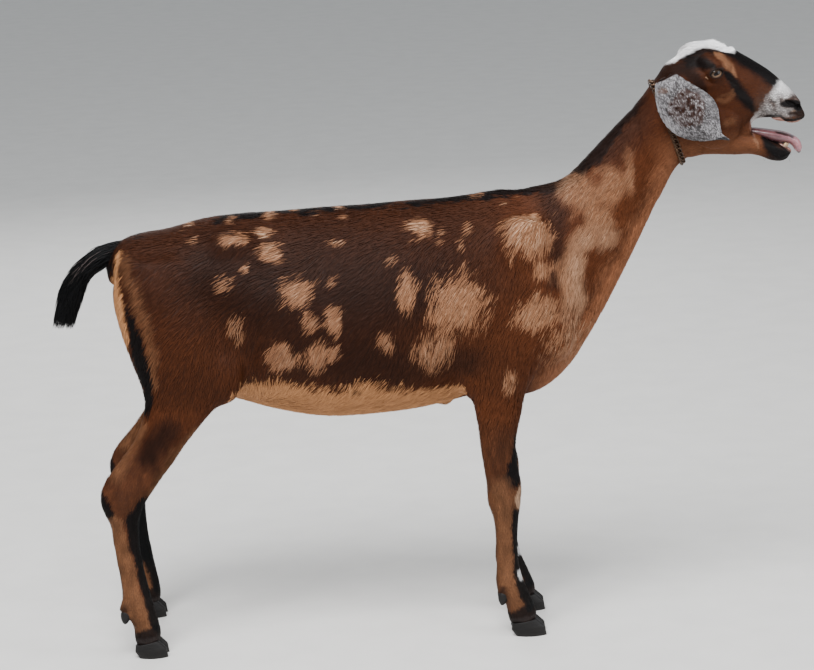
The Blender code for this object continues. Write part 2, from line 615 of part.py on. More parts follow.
def fore_leg_cut(whole, side, collection):
    """Parts a fore leg from the chest on a slope that runs down inwards to the armpit."""
    corners = [(FORE_CUT_FRONT_X, y * side, z) for y, z in FORE_CUT]
    return part_off(whole, corners, (-FORE_CUT_LENGTH, 0, 0), (0, 0, -1), collection)


def part_body(collection):
    """Torso, neck and four legs, cut from the fused flesh."""
    pieces = body_pieces(collection)
    whole = fused("flesh", pieces, BODY_VOXEL, BODY_EASING, BODY_TRIANGLES, collection, BARREL_EASING)
    remove([side_cut(whole, *HEAD_CUT, collection)])
    neck = named(side_cut(whole, *NECK_CUT, collection), "neck", "coat")
    legs = {}
    for side in (RIGHT, LEFT):
        legs["fore", side] = fore_leg_cut(whole, side, collection)
    left_hind = side_cut(whole, *HIND_CUT, collection)
    middle = [(x, 0, z) for x, z in HIND_CUT[0]]
    legs["hind", RIGHT] = part_off(left_hind, middle, (0, -CUT_HALF_WIDTH, 0), (0, -1, 0), collection)
    legs["hind", LEFT] = largest_part(left_hind, collection)
    torso = named(largest_part(whole, collection), "torso", "coat")
    return torso, neck, legs


def cut_at_coronet(leg, heel_x, toe_x, collection):
    """Cuts a leg off along the sloping line where its hooves begin."""
    reach = 0.04
    slope = (CORONET_FRONT_Z - CORONET_REAR_Z) / (toe_x - heel_x)
    rear_z = CORONET_REAR_Z + GAP - reach * slope
    front_z = CORONET_FRONT_Z + GAP + reach * slope
    outline = ((heel_x - reach, rear_z), (toe_x + reach, front_z))
    outline += ((toe_x + reach, -reach), (heel_x - reach, -reach))
    corners = [(x, -CUT_HALF_WIDTH, z) for x, z in outline]
    boolean(leg, "DIFFERENCE", [swept(corners, (0, 2 * CUT_HALF_WIDTH, 0), collection)])
    return largest_part(leg, collection)


def claw(name, heel_x, toe_x, centre_y, outer, collection):
    """One horny claw: flat sole, walls that lean to the toe, and a flat top at the coronet.

    outer is +1 or -1 for the side on which the wall bulges; the cleft side is flatter.
    """
    around = 16
    turn = np.linspace(0, 2 * math.pi, around, endpoint=False)
    length = toe_x - heel_x
    rings = []
    for level, (rear_in, front_in, width) in enumerate(CLAW_LEVELS):
        share = level / (len(CLAW_LEVELS) - 1)
        rear, front = heel_x + rear_in * length, toe_x - front_in * length
        middle, reach = (rear + front) / 2, (front - rear) / 2
        x = middle + reach * np.cos(turn)
        taper = 1 - CLAW_TAPER * np.clip(np.cos(turn), 0, 1) ** 2 * (1 - share)
        bulge = np.where(np.sin(turn) * outer > 0, 1.0, CLEFT_SIDE_SHARE)
        y = centre_y + CLAW_HALF_WIDTH * width * signed_power(np.sin(turn), 0.8) * taper * bulge
        top = CORONET_REAR_Z + (CORONET_FRONT_Z - CORONET_REAR_Z) * (x - heel_x) / length
        rings.append(np.stack([x, y, top * share], axis=-1))
    points = np.vstack(rings)
    top_start = (len(rings) - 1) * around
    faces = ring_walls(len(rings), around)
    faces += [tuple(range(around)), tuple(range(top_start, top_start + around))]
    return named(outward(object_of(name, points, faces, collection)), name, "horn", roughness=0.55)


def dewclaw(name, centre, leg, collection):
    """A small blunt horn behind the fetlock, cut to meet the leg."""
    horn = rounded_mass(name, centre, DEWCLAW_RADII, DEWCLAW_PITCH, collection, 8)
    boolean(horn, "DIFFERENCE", [grown_copy(leg, CLEARANCE, collection)])
    return named(largest_part(horn, collection), name, "horn", roughness=0.6)


def finish_legs(legs, collection):
    """Cuts each leg at the coronet and adds its two claws and two dewclaws."""
    for (pair, side), leg in legs.items():
        hind = pair == "hind"
        shift = far_foot_shift(hind, 0.0) if side == LEFT else 0.0
        heel_x = (HIND_HEEL_X if hind else FORE_HEEL_X) + shift
        toe_x = (HIND_TOE_X if hind else FORE_TOE_X) + shift
        stance = (HIND_STANCE if hind else FORE_STANCE) * side
        label = f"{pair}_{SIDE_NAMES[side]}"
        leg = named(cut_at_coronet(leg, heel_x, toe_x, collection), f"leg_{label}", "coat")
        for where, outer in (("outer", side), ("inner", -side)):
            claw(f"hoof_{label}_{where}", heel_x, toe_x, stance + CLAW_OFFSET * outer, outer, collection)
            behind = Vector((heel_x - DEWCLAW_BACK, stance + DEWCLAW_SPREAD * outer, DEWCLAW_Z))
            dewclaw(f"dewclaw_{label}_{where}", behind, leg, collection)


def eye_frame(side):
    """The eye's centre, the way it looks, and the way its slit runs, on one side."""
    centre = Vector((EYE_CENTRE.x, EYE_CENTRE.y * side, EYE_CENTRE.z))
    gaze = Vector((EYE_GAZE[0], EYE_GAZE[1] * side, EYE_GAZE[2])).normalized()
    slit = Vector((math.cos(EYE_SLIT_TILT), 0, math.sin(EYE_SLIT_TILT)))
    slit = (slit - gaze * slit.dot(gaze)).normalized()
    return centre, gaze, slit


def eye_opening(side, collection):
    """An almond prism that opens the lids in front of the eye."""
    centre, gaze, slit = eye_frame(side)
    across = gaze.cross(slit)
    turn = np.linspace(0, 2 * math.pi, 16, endpoint=False)
    rings = []
    for depth in EYE_OPENING_DEPTHS:
        along = EYE_SLIT_LENGTH / 2 * np.cos(turn)
        rise = EYE_SLIT_HEIGHT / 2 * signed_power(np.sin(turn), 1.25)
        rings.append([centre + gaze * depth + slit * a + across * b for a, b in zip(along, rise)])
    return closed_loft("almond", np.array(rings), collection)


def part_head(collection):
    """Head and lower jaw, with sockets, lids and nostrils, cut from the fused head."""
    pieces = head_pieces(collection)
    whole = fused("head_flesh", pieces, HEAD_VOXEL, HEAD_EASING, HEAD_TRIANGLES, collection)
    head = side_cut(whole, *HEAD_CUT, collection)
    remove([whole])
    lids = []
    openings = []
    for side in (RIGHT, LEFT):
        centre, _, _ = eye_frame(side)
        lid_radius = EYE_RADIUS + LID_THICKNESS
        lids.append(rounded_mass("lid", centre, (lid_radius,) * 3, 0, collection, 20))
        openings.append(eye_opening(side, collection))
        socket = EYE_RADIUS + CLEARANCE
        openings.append(rounded_mass("socket", centre, (socket,) * 3, 0, collection, 20))
        openings += nostril(side, collection)
    boolean(head, "UNION", lids)
    boolean(head, "DIFFERENCE", openings)
    jaw = named(side_cut(head, *JAW_CUT, collection), "lower_jaw", "coat")
    return named(largest_part(head, collection), "head", "coat"), jaw


def nostril(side, collection):
    """The two hollows that make one comma-shaped nostril."""
    hollows = []
    for (x, y, z), radii, pitch in NOSTRIL_HOLLOWS:
        hollows.append(rounded_mass("hollow", (x, y * side, z), radii, pitch, collection, 12))
    return hollows


def eyes(collection):
    for side in (RIGHT, LEFT):
        centre, _, _ = eye_frame(side)
        ball = rounded_mass("eye", centre, (EYE_RADIUS,) * 3, 0, collection, 16)
        named(ball, f"eye_{SIDE_NAMES[side]}", "eye", roughness=0.1)


def ear(side, neighbours, collection):
    """A long hanging ear: a bowed leaf of even thickness that closes to a cup at its root."""
    across = np.linspace(-1, 1, 7)
    shift_x, shift_z = FAR_EAR_SHIFT if side == LEFT else (0.0, 0.0)
    outer, inner = [], []
    for rear_x, rear_z, front_x, front_z, rear_y, front_y, bulge in smooth_rows(EAR, 2):
        share = (across + 1) / 2
        x = shift_x + rear_x + (front_x - rear_x) * share
        z = shift_z + rear_z + (front_z - rear_z) * share
        y = rear_y + (front_y - rear_y) * share + bulge * (1 - across**2)
        thickness = EAR_THICKNESS * (1 - EAR_EDGE_THINNING * across**4)
        outer.append(np.stack([x, side * y, z], axis=-1))
        inner.append(np.stack([x, side * (y - thickness), z], axis=-1))
    rings = np.concatenate([np.array(outer), np.array(inner)[:, ::-1]], axis=1)
    leaf = folded_loft("ear", rings, collection)
    boolean(leaf, "DIFFERENCE", [grown_copy(n, CLEARANCE, collection) for n in neighbours])
    return named(largest_part(leaf, collection), f"ear_{SIDE_NAMES[side]}", "ear")


def tongue(neighbours, collection):
    body = closed_loft("tongue", loft_rings(TONGUE, 16, 2), collection)
    boolean(body, "DIFFERENCE", [grown_copy(n, CLEARANCE, collection) for n in neighbours])
    return named(largest_part(body, collection), "tongue", "tongue", roughness=0.35)


def lower_teeth(neighbours, collection):
    """The incisors in an arc on one bar of gum at the front of the lower jaw."""
    gum = rounded_mass("gum", GUM_CENTRE, GUM_RADII, TEETH_PITCH, collection, 12)
    teeth = []
    for k in range(TEETH):
        angle = math.radians(TEETH_FIRST_ANGLE + TEETH_STEP * k)
        forward, sideways = math.cos(angle), math.sin(angle)
        arch = (TEETH_ARCH_LENGTH * forward, TEETH_ARCH_HALF_WIDTH * sideways, -TEETH_ARCH_DROP * forward)
        centre = TEETH_ARCH + Vector(arch)
        teeth.append(rounded_mass("tooth", centre, TOOTH_RADII, TEETH_PITCH, collection, 6))
    boolean(gum, "UNION", teeth)
    boolean(gum, "DIFFERENCE", [grown_copy(n, CLEARANCE, collection) for n in neighbours])
    return named(largest_part(gum, collection), "lower_incisors", "tooth", roughness=0.4)


def tail_point(rows, along, angle, share):
    """A point in the tail: along runs from 0 at the root to 1 at the end, angle goes around, and
    share is 0 on the middle line and 1 on the outline."""
    place = along * (len(rows) - 1)
    first = min(int(place), len(rows) - 2)
    row = rows[first] + (rows[first + 1] - rows[first]) * (place - first)
    up = 0.5 + 0.5 * share * math.sin(angle)
    x = row[0] + (row[2] - row[0]) * up
    z = row[1] + (row[3] - row[1]) * up
    return Vector((x, row[4] * share * math.cos(angle), z))


def tail_lock(rows, start, end, angle, width, collection):
    """A flat tapered lock along the tail's lie, its root sunk in the core and its tip on the outline."""
    rings = []
    for t, spread, rise in LOCK_ROWS:
        along = start + (end - start) * t
        place = tail_point(rows, along, angle, rise)
        onward = tail_point(rows, along + 0.02, angle, rise) - tail_point(rows, along - 0.02, angle, rise)
        outwards = place - tail_point(rows, along, angle, 0.0)
        across = onward.cross(outwards).normalized() * width * spread
        thick = across.cross(onward).normalized() * width * LOCK_FLATNESS * max(spread, 0.4)
        rings.append([place + across, place + thick, place - across, place - thick])
    return closed_loft("lock", np.array(rings), collection)


def tail(torso, collection):
    """The fleshy dock and the hair around it: flat locks that overlap and end square."""
    rows = smooth_rows(TAIL, 4)
    dock = loft_rings(TAIL, 10, 1)
    middle = dock.mean(axis=1, keepdims=True)
    core = closed_loft("tail", middle + (dock - middle) * TAIL_CORE_SHARE, collection)
    chance = np.random.default_rng(TAIL_SEED)
    locks = []
    for k in range(TAIL_LOCKS):
        angle = 2 * math.pi * ((k * 0.618) % 1)
        start = 0.14 + 0.56 * k / TAIL_LOCKS
        end = min(start + chance.uniform(0.34, 0.46), 1.0)
        if k >= TAIL_LOCKS / 2:
            end = chance.uniform(0.96, 1.01)
        locks.append(tail_lock(rows, start, end, angle, chance.uniform(*LOCK_HALF_WIDTHS), collection))
    boolean(core, "UNION", locks)
    boolean(core, "DIFFERENCE", [grown_copy(torso, CLEARANCE, collection)])
    return named(largest_part(core, collection), "tail", "tail", roughness=0.7)


def collar_path(neighbours):
    """Evenly spaced points around the neck, just clear of its skin, in the collar's own plane."""
    work = bmesh.new()
    for neighbour in neighbours:
        work.from_mesh(neighbour.data)
    skin = BVHTree.FromBMesh(work)
    work.free()
    middle = (COLLAR_THROAT + COLLAR_NAPE) / 2
    rise = (COLLAR_NAPE - COLLAR_THROAT).normalized()
    points = []
    for angle in np.linspace(0, 2 * math.pi, 8 * COLLAR_LINKS, endpoint=False):
        outwards = Vector((0, math.cos(angle), 0)) + rise * math.sin(angle)
        far = middle + outwards * 0.2
        _, _, _, distance = skin.ray_cast(far, -outwards)
        points.append(far - outwards * (distance - COLLAR_STAND_OFF))
    points = np.array(points)
    for _ in range(COLLAR_EASING):
        points = (np.roll(points, 1, axis=0) + 2 * points + np.roll(points, -1, axis=0)) / 4
    closed = np.vstack([points, points[:1]])
    reach = np.concatenate([[0], np.cumsum(np.linalg.norm(np.diff(closed, axis=0), axis=1))])
    stops = np.linspace(0, reach[-1], COLLAR_LINKS, endpoint=False)
    return np.stack([np.interp(stops, reach, closed[:, k]) for k in range(3)], axis=1), middle


def collar(neighbours, collection):
    """A close chain of round-wire links that lean left and right by turns around the neck."""
    places, middle = collar_path(neighbours)
    links = []
    for k, place in enumerate(places):
        along = Vector(places[(k + 1) % COLLAR_LINKS] - places[k - 1]).normalized()
        lean = COLLAR_LEAN if k % 2 else -COLLAR_LEAN
        links.append(chain_link(Vector(place), along, Vector(place) - middle, lean, collection))
    first = links.pop()
    boolean(first, "UNION", links)
    boolean(first, "DIFFERENCE", [grown_copy(n, CLEARANCE, collection) for n in neighbours])
    return named(largest_part(first, collection), "collar", "chain", roughness=0.35, metallic=0.9)


def chain_link(centre, along, outwards, lean, collection):
    """One oval link, its long axis along the chain, leaning about it."""
    across = along.cross(outwards).normalized()
    upright = across.cross(along).normalized()
    flat = across * math.cos(lean) + upright * math.sin(lean)
    normal = along.cross(flat)
    long_axis = along * COLLAR_LINK_LENGTH / 2
    short_axis = flat * COLLAR_LINK_WIDTH / 2
    points = []
    for a in np.linspace(0, 2 * math.pi, LINK_TURNS, endpoint=False):
        spoke = long_axis * math.cos(a) + short_axis * math.sin(a)
        radial = spoke.normalized()
        for b in np.linspace(0, 2 * math.pi, LINK_SIDES, endpoint=False):
            points.append(centre + spoke + (radial * math.cos(b) + normal * math.sin(b)) * COLLAR_WIRE)
    faces = []
    for i in range(LINK_TURNS):
        here, there = i * LINK_SIDES, (i + 1) % LINK_TURNS * LINK_SIDES
        for j in range(LINK_SIDES):
            beside = (j + 1) % LINK_SIDES
            faces.append((here + j, there + j, there + beside, here + beside))
    return outward(object_of("link", points, faces, collection))


def main():
    clear_scene()
    collection = bpy.data.collections.new("mini_nubian_goat")
    bpy.context.scene.collection.children.link(collection)
    torso, neck, legs = part_body(collection)
    finish_legs(legs, collection)
    head, jaw = part_head(collection)
    eyes(collection)
    lower_teeth([jaw], collection)
    tongue([head, jaw, bpy.data.objects["lower_incisors"]], collection)
    tail(torso, collection)
    collar([neck, head], collection)
    for side in (RIGHT, LEFT):
        ear(side, [head, neck, bpy.data.objects["collar"]], collection)


main()
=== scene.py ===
import math

import bmesh
import bpy
import numpy as np
from bpy.props import FloatProperty, FloatVectorProperty, IntProperty, PointerProperty
from mathutils import Matrix, Vector


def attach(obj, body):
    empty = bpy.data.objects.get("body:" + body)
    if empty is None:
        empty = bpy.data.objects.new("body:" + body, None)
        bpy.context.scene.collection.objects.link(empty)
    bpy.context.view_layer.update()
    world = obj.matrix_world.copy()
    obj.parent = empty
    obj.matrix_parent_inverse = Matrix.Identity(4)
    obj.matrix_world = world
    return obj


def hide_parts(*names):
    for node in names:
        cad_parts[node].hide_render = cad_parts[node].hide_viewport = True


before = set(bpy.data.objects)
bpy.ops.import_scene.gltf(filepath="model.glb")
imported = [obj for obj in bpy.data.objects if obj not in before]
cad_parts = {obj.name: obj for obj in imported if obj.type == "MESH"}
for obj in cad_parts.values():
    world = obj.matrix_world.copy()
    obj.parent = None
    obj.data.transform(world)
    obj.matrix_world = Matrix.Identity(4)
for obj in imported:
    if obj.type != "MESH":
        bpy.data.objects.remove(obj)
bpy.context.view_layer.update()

bl_info = {
    "name": "Mini Nubian Goat",
    "version": (1, 0, 0),
    "blender": (4, 5, 0),
    "location": "View3D > Sidebar > Goat",
    "description": "Skin, coat, eyes, mouth, hooves, tail and chain of a life-size standing doe",
    "category": "Add Mesh",
}

RIGHT, LEFT = SIDES = (-1, 1)
SIDE_NAMES = {RIGHT: "right", LEFT: "left"}
LEGS = [(pair, side) for pair in ("fore", "hind") for side in SIDES]
# For each pair of feet: the x of heel and toe, the y of the middle, and the dewclaws' height.
FEET = {"fore": (0.109, 0.167, 0.066, 0.062), "hind": (-0.48, -0.426, 0.105, 0.067)}
# How far each ear hangs from the table's place, in x and z.
EAR_SHIFTS = {RIGHT: (0, 0), LEFT: (0.012, -0.01)}
# The eye's centre and gaze on the left, and the tilts of its opening and its pupil.
EYE_CENTRE, EYE_GAZE, SLIT_TILT, PUPIL_TILT = (0.447, 0.0445, 0.871), (0.22, 0.96, 0.1), math.radians(14), -0.22
# The ear's thickness at its middle, and the place of the left teat.
EAR_THICKNESS, TEAT = 0.0032, (-0.343, 0.026, 0.379)
# The chain's lowest and highest point, a link's lean, its rings of wire and their sides.
THROAT, NAPE, LINK_LEAN, LINK_RINGS, WIRE_SIDES = (0.3965, 0, 0.74), (0.3545, 0, 0.856), math.radians(28), 22, 8
# Numbers of hairs, and the piece whose unwrap the poll's hair, lashes and whiskers share.
TAIL_HAIRS, POLL_HAIRS, LASHES, WHISKERS, FACE_PIECE = 2800, 2000, 46, 36, 4
# How deep a tuft's root lies in the skin, and the lot that stands for skin among the tufts' lots.
ROOT_DEPTH, SKIN_LOT = 0.0006, -1.0
# The lamps: name, width and place.
LAMPS = [("key", 2.6, (-0.9, -2.5, 4.0)), ("front", 2.0, (3.0, -1.4, 1.7)), ("behind", 2.4, (-0.8, 3.2, 2.4))]
# Half the width of the floor, then the camera: its place, degrees down, degrees of roll and lens.
FLOOR_REACH = 30.0
CAMERA_PLACE, CAMERA_DIP, CAMERA_ROLL, CAMERA_LENS = (-0.036, -4.4, 1.4137), 12.0667, 2.2, 127.06
# The voxels of body and head, and the skin's triangles in the end.
BODY_VOXEL, HEAD_VOXEL, SKIN_TRIANGLES = 0.0048, 0.0015, 196000


def sections(*rows):
    """A loft's sections from rows in millimetres: lower x and z, upper x and z, half width, the widest
    point as a share of the way up, lower and upper roundness and centre y. Roundness 2 is an ellipse and
    less is more pointed. A row may leave out its end where it is 0.5, 2, 2, 0."""
    full = np.array([row + (0.5, 2, 2, 0)[len(row) - 5:] for row in rows])
    return np.hstack([full[:, :5] / 1000, full[:, 8:] / 1000, full[:, 5:8]])


TORSO = sections(
    (-492, 588, -489, 622, 16), (-470, 535, -479, 640, 50, 0.6), (-440, 480, -450, 651, 72, 0.62),
    (-400, 430, -400, 658, 85, 0.64, 2, 1.9), (-350, 398, -350, 671, 94, 0.64, 2, 1.8),
    (-300, 381, -300, 677, 102, 0.58, 2, 1.8), (-250, 366, -250, 679, 113, 0.5, 2.1, 1.75),
    (-200, 356, -200, 681, 124, 0.45, 2.2, 1.7), (-150, 351, -150, 683, 130, 0.43, 2.2, 1.7),
    (-90, 353, -90, 685, 131, 0.43, 2.2, 1.7), (-30, 358, -30, 688, 126, 0.44, 2.2, 1.7),
    (20, 366, 20, 690, 117, 0.45, 2.1, 1.65), (65, 375, 65, 694, 106, 0.46, 2, 1.6),
    (110, 374, 110, 701, 97, 0.46, 2, 1.5), (150, 372, 150, 700, 90, 0.45, 2, 1.5),
    (185, 387, 185, 706, 79, 0.42, 2, 1.6), (215, 413, 205, 690, 62, 0.42, 2, 1.8),
    (237, 442, 225, 640, 40, 0.45), (246, 480, 240, 560, 14),
)
NECK = sections(
    (190, 410, 110, 690, 76, 0.45, 2, 1.6), (232, 438, 170, 703, 67, 0.45, 2, 1.6),
    (263, 484, 215, 715, 58, 0.46, 2, 1.7), (289, 530, 244, 740, 51, 0.48, 2, 1.8),
    (312, 573, 271, 767, 46, 0.5, 2, 1.9), (333, 614, 295, 792, 42, 0.5, 2, 1.9), (352, 652, 317, 812, 40),
    (371, 689, 338, 834, 38, 0.52), (390, 722, 355, 855, 38, 0.55), (415, 742, 378, 880, 41, 0.6),
    (440, 755, 405, 885, 38, 0.6),
)
CRANIUM = sections(
    (372, 800, 362, 862, 20, 0.55), (392, 750, 377, 884, 38, 0.6), (410, 737, 400, 899, 45, 0.62, 2, 2.1),
    (430, 740, 423, 911, 49, 0.66, 2, 2.2), (455, 740, 449, 912, 50, 0.68, 1.9, 2.3),
    (476, 741, 477, 904, 46, 0.66, 1.9, 2.2), (492, 757, 499, 892, 40, 0.6, 2, 2.2),
    (505, 784, 517, 880.5, 34, 0.52, 2.2, 2.2), (516, 793.5, 533, 869.5, 30, 0.48, 2.3, 2.2),
    (530, 794.5, 549, 856, 27.5, 0.46, 2.4, 2.2), (545, 794.5, 563, 842.5, 26.5, 0.44, 2.4, 2.2),
    (556, 790.5, 572.5, 832.5, 26, 0.44, 2.4, 2.3), (568, 788, 580.5, 821.5, 25, 0.44, 2.4, 2.3),
    (579, 788.5, 585, 809, 21.5, 0.45, 2.3, 2.3), (587, 791.5, 589.5, 800, 14, 0.5, 2.2, 2.2),
)
JAW = sections(
    (430, 742, 440, 800, 36, 0.6), (458, 740, 466, 790, 37, 0.55), (484, 738.5, 490, 783, 33),
    (500, 739, 508, 776, 29, 0.5, 2, 2.2), (513, 737, 522, 769.5, 26, 0.5, 2, 2.4),
    (524, 733.5, 533, 762.5, 23.5, 0.5, 2, 2.6), (535, 728.5, 545, 757, 21.5, 0.5, 2, 2.6),
    (547, 727, 557, 751.5, 20, 0.5, 2, 2.6), (559, 731.5, 566.5, 746, 16.5, 0.5, 2, 2.4),
    (566, 737, 569, 742, 10),
)
FORE_LEG = sections(
    (60, 585, 190, 600, 22, 0.5, 2, 2, 60), (48, 520, 205, 550, 34, 0.5, 2, 2, 60),
    (48, 465, 195, 480, 36, 0.5, 2, 2, 62), (51, 420, 168, 430, 33, 0.5, 2, 2, 63),
    (59, 388, 147, 392, 29, 0.5, 2, 2, 64), (66, 350, 137, 352, 25, 0.5, 2, 2, 65),
    (70, 310, 128, 310, 21, 0.55, 2, 2, 66), (74, 275, 130, 272, 20, 0.55, 2, 2.2, 66),
    (78, 245, 134, 243, 22, 0.6, 2, 2.4, 66), (79, 215, 132, 213, 21, 0.6, 2, 2.4, 66),
    (87, 190, 128, 188, 17, 0.6, 2, 2.2, 66), (90, 155, 125, 153, 14.5, 0.6, 2, 2.2, 66),
    (90, 115, 126, 117, 14.5, 0.55, 2, 2.2, 66), (88, 86, 131, 91, 18, 0.5, 2.2, 2.2, 66),
    (93, 68, 137, 76, 19.5, 0.5, 2.2, 2.2, 66), (103, 48, 145, 56, 19, 0.5, 2.2, 2.2, 66),
    (106, 28, 152, 36, 22, 0.5, 2.3, 2.3, 66), (110, 16, 150, 22, 19, 0.5, 2.3, 2.3, 66),
)
HIND_LEG = sections(
    (-470, 625, -350, 620, 26, 0.5, 2, 2, 56), (-489, 575, -315, 575, 42, 0.5, 2, 2, 60),
    (-484, 530, -298, 520, 47, 0.5, 2, 2, 66), (-473, 490, -290, 470, 45, 0.5, 2, 2, 73),
    (-460, 452, -292, 430, 40, 0.52, 2, 2, 81), (-448, 418, -313, 406, 33, 0.55, 2, 2, 88),
    (-447, 388, -338, 385, 28, 0.55, 1.9, 2, 93), (-456, 361, -362, 360, 24.5, 0.55, 1.9, 2, 96),
    (-471, 336, -384, 333, 21.5, 0.6, 1.8, 2, 98), (-491, 311, -402, 308, 19.5, 0.65, 1.7, 2, 100),
    (-510, 288, -421, 285, 19, 0.68, 1.7, 2, 101), (-520, 266, -438, 262, 20.5, 0.66, 1.8, 2.1, 102),
    (-521, 249, -450, 245, 22, 0.6, 2, 2.2, 102), (-516, 231, -459, 225, 21.5, 0.58, 2, 2.3, 103),
    (-507, 210, -462, 204, 18, 0.58, 2, 2.3, 103), (-504, 178, -462, 176, 15, 0.58, 2, 2.3, 104),
    (-499, 140, -458, 140, 14.5, 0.58, 2, 2.3, 104), (-495, 108, -452, 109, 16, 0.55, 2.2, 2.2, 105),
    (-494, 84, -448, 89, 19, 0.5, 2.2, 2.2, 105), (-488, 66, -444, 73, 20, 0.5, 2.2, 2.2, 105),
    (-480, 47, -440, 55, 19, 0.5, 2.2, 2.2, 105), (-479, 28, -437, 36, 22, 0.5, 2.3, 2.3, 105),
    (-476, 16, -440, 22, 19, 0.5, 2.3, 2.3, 105),
)
# The tail's sections run to the square end of its hair.
TAIL = sections(
    (-470, 610, -462, 645, 16), (-495, 602, -487, 640, 17), (-508, 594, -515, 632, 17),
    (-521, 586, -537, 617, 18), (-530, 573, -556, 599, 18), (-538, 552, -573, 575, 18),
    (-547, 530, -581, 549, 16), (-555, 507, -589, 510, 12),
)
TONGUE = sections(
    (492, 772, 494, 780, 8), (506, 769, 508, 780, 12, 0.5, 2, 2.2), (520, 764, 523, 778, 15, 0.55, 2, 2.4),
    (535, 758, 540, 775, 18, 0.6, 2, 2.6), (549, 754.5, 556, 771.8, 18, 0.6, 2, 2.6),
    (560.5, 755, 570, 766.5, 16.5, 0.55, 2, 2.4), (569, 749.5, 581, 759, 14.5, 0.5, 2, 2.2),
    (573.5, 742.5, 585, 748, 11.5, 0.5, 2, 2.2), (578.5, 737.5, 583.5, 740, 6.5),
)
# The ear's outline, root to tip: rear edge x and z, front edge x and z, the y of the rear edge and of
# the front edge, and how far the middle bulges out.
EAR = np.array([
    (366, 862, 379, 876, 30, 34, 10), (356, 860, 388, 874.5, 43, 51, 13),
    (354.5, 846, 405, 863.5, 50, 65, 14), (357.5, 820, 432.5, 846, 55, 76, 14),
    (368, 798, 446.5, 828, 58, 82, 13), (390, 778, 451, 800, 64, 82, 10), (420, 771, 454, 784, 70, 80, 5),
    (451, 773, 459.5, 778.5, 77, 80, 1), (464, 771.5, 466, 774, 81, 82, 0),
]) / 1000

# Rounded masses over bone and muscle, in millimetres: centre, radii and pitch in degrees about +Y.
# Those with a y other than 0 are made on both sides.
BODY_MASSES = [
    (125, 58, 570, 58, 26, 105, 20), (182, 50, 480, 45, 32, 52, 0), (-300, 56, 629, 46, 26, 30, 0),
    (-462, 32, 606, 30, 21, 27, 0), (-392, 64, 540, 85, 40, 88, 0), (-330, 86, 440, 46, 32, 50, 0),
    (64, 66, 405, 20, 20, 26, 0), (-488, 0, 592, 15, 14, 26, 10), (20, 0, 366, 14, 10, 10, 0),
    (-343, 26, 385, 8.5, 8.5, 17, 20),
]
HEAD_MASSES = [
    (448, 34, 880, 30, 20, 20, 15), (445, 32, 795, 46, 18, 42, 20), (569, 15, 822.5, 15, 10.5, 7, 30),
    (493.5, 23.5, 783.5, 12.5, 8, 16.5, 0), (562, 15.5, 796.5, 26, 11.5, 7.5, 0),
    (548, 12, 746, 18, 9, 7.5, 25), (549, 0, 735.5, 16.5, 15, 9.5, 0), (571, 0, 790.5, 14, 16, 6, 0),
    (432, 0, 898, 38, 28, 20, 0), (572.5, 0, 812.5, 10.5, 17, 12, 0),
]
# Gentle swells and hollows of the skin in millimetres: centre, spread and height, positive outwards.
SWELLS = [
    (-235, 105, 605, 40, 60, 36, -5), (-160, 130, 550, 14, 60, 80, 2.2), (35, 110, 440, 20, 50, 40, -4),
    (135, 80, 600, 16, 50, 60, 3), (192, 70, 570, 16, 50, 50, -3), (100, 100, 470, 36, 50, 36, 3.5),
    (-360, 110, 500, 50, 50, 60, 3), (-452, 100, 322, 12, 50, 30, -3.4), (-486, 102, 252, 12, 50, 12, 1.6),
    (112, 66, 232, 16, 50, 14, 1.4), (424, 45, 884, 10, 20, 8, -2), (497, 40, 842, 16, 20, 12, -1.6),
    (478, 48, 862, 8, 20, 5, -1.8), (440, 50, 853, 16, 20, 6, 1.4),
]
# Creases in millimetres: half width, depth, negative for a ridge, and the points along each.
CREASES = [
    (10, 3, (240, 45, 500), (300, 36, 590), (368, 30, 705)),
    (9, 2, (-462, 70, 570), (-442, 85, 480), (-425, 95, 410)),
    (9, 3, (-262, 105, 520), (-280, 100, 450), (-292, 80, 398)), (4, 1.2, (-492, 102, 205), (-486, 104, 100)),
    (4, 1.2, (101, 66, 190), (101, 66, 105)), (6, -1.2, (468, 46, 842), (520, 32, 812)),
    (2.2, 1.3, (458, 54, 867.5), (470, 48, 859), (481, 44, 852)),
    (1.4, 1.4, (432, 52, 877.5), (446, 56, 883.5), (462, 50, 881)),
    (1.6, 1.2, (430, 53, 862.5), (444, 57, 857.5), (458, 53, 861)),
    (1.6, 0.9, (548, 28, 826), (561, 27, 831), (574, 20, 827.5)),
    (1.6, 0.9, (545, 27, 812), (562, 26, 806), (580, 19, 804.5)),
    (1.4, 1.1, (498.5, 30, 793), (493, 31, 785), (496.5, 30, 776)),
    (1.4, 0.8, (494, 31, 796), (488, 33, 785), (492, 32, 774)), (1.6, 1.2, (587, 0, 808), (590.5, 0, 795)),
    (6, 1.4, (460, 45, 810), (474, 42, 780), (470, 36, 750)),
]
NOSTRIL_HOLLOWS = [
    ((0.5665, 0.0262, 0.8175), (0.0125, 0.0065, 0.0042), 27),
    ((0.5765, 0.02, 0.8115), (0.0065, 0.006, 0.005), 10),
]
# The heights of the open mouth's edges in millimetres: every x, then every z.
UPPER_LIP = (503.3, 517.9, 530.8, 549.5, 556.7, 569, 587.4, 786.2, 795.8, 796.2, 796.7, 790.7, 788.7, 791.9)
LOWER_LIP = (503.3, 518.2, 530.5, 549.5, 564.4, 786.2, 771.9, 763.6, 754.4, 741.7)
# A point of the plane where neck and head join, and its normal.
NECK_JOIN = (Vector((0.345, 0, 0.745)), Vector((0.975, 0, 0.222)))

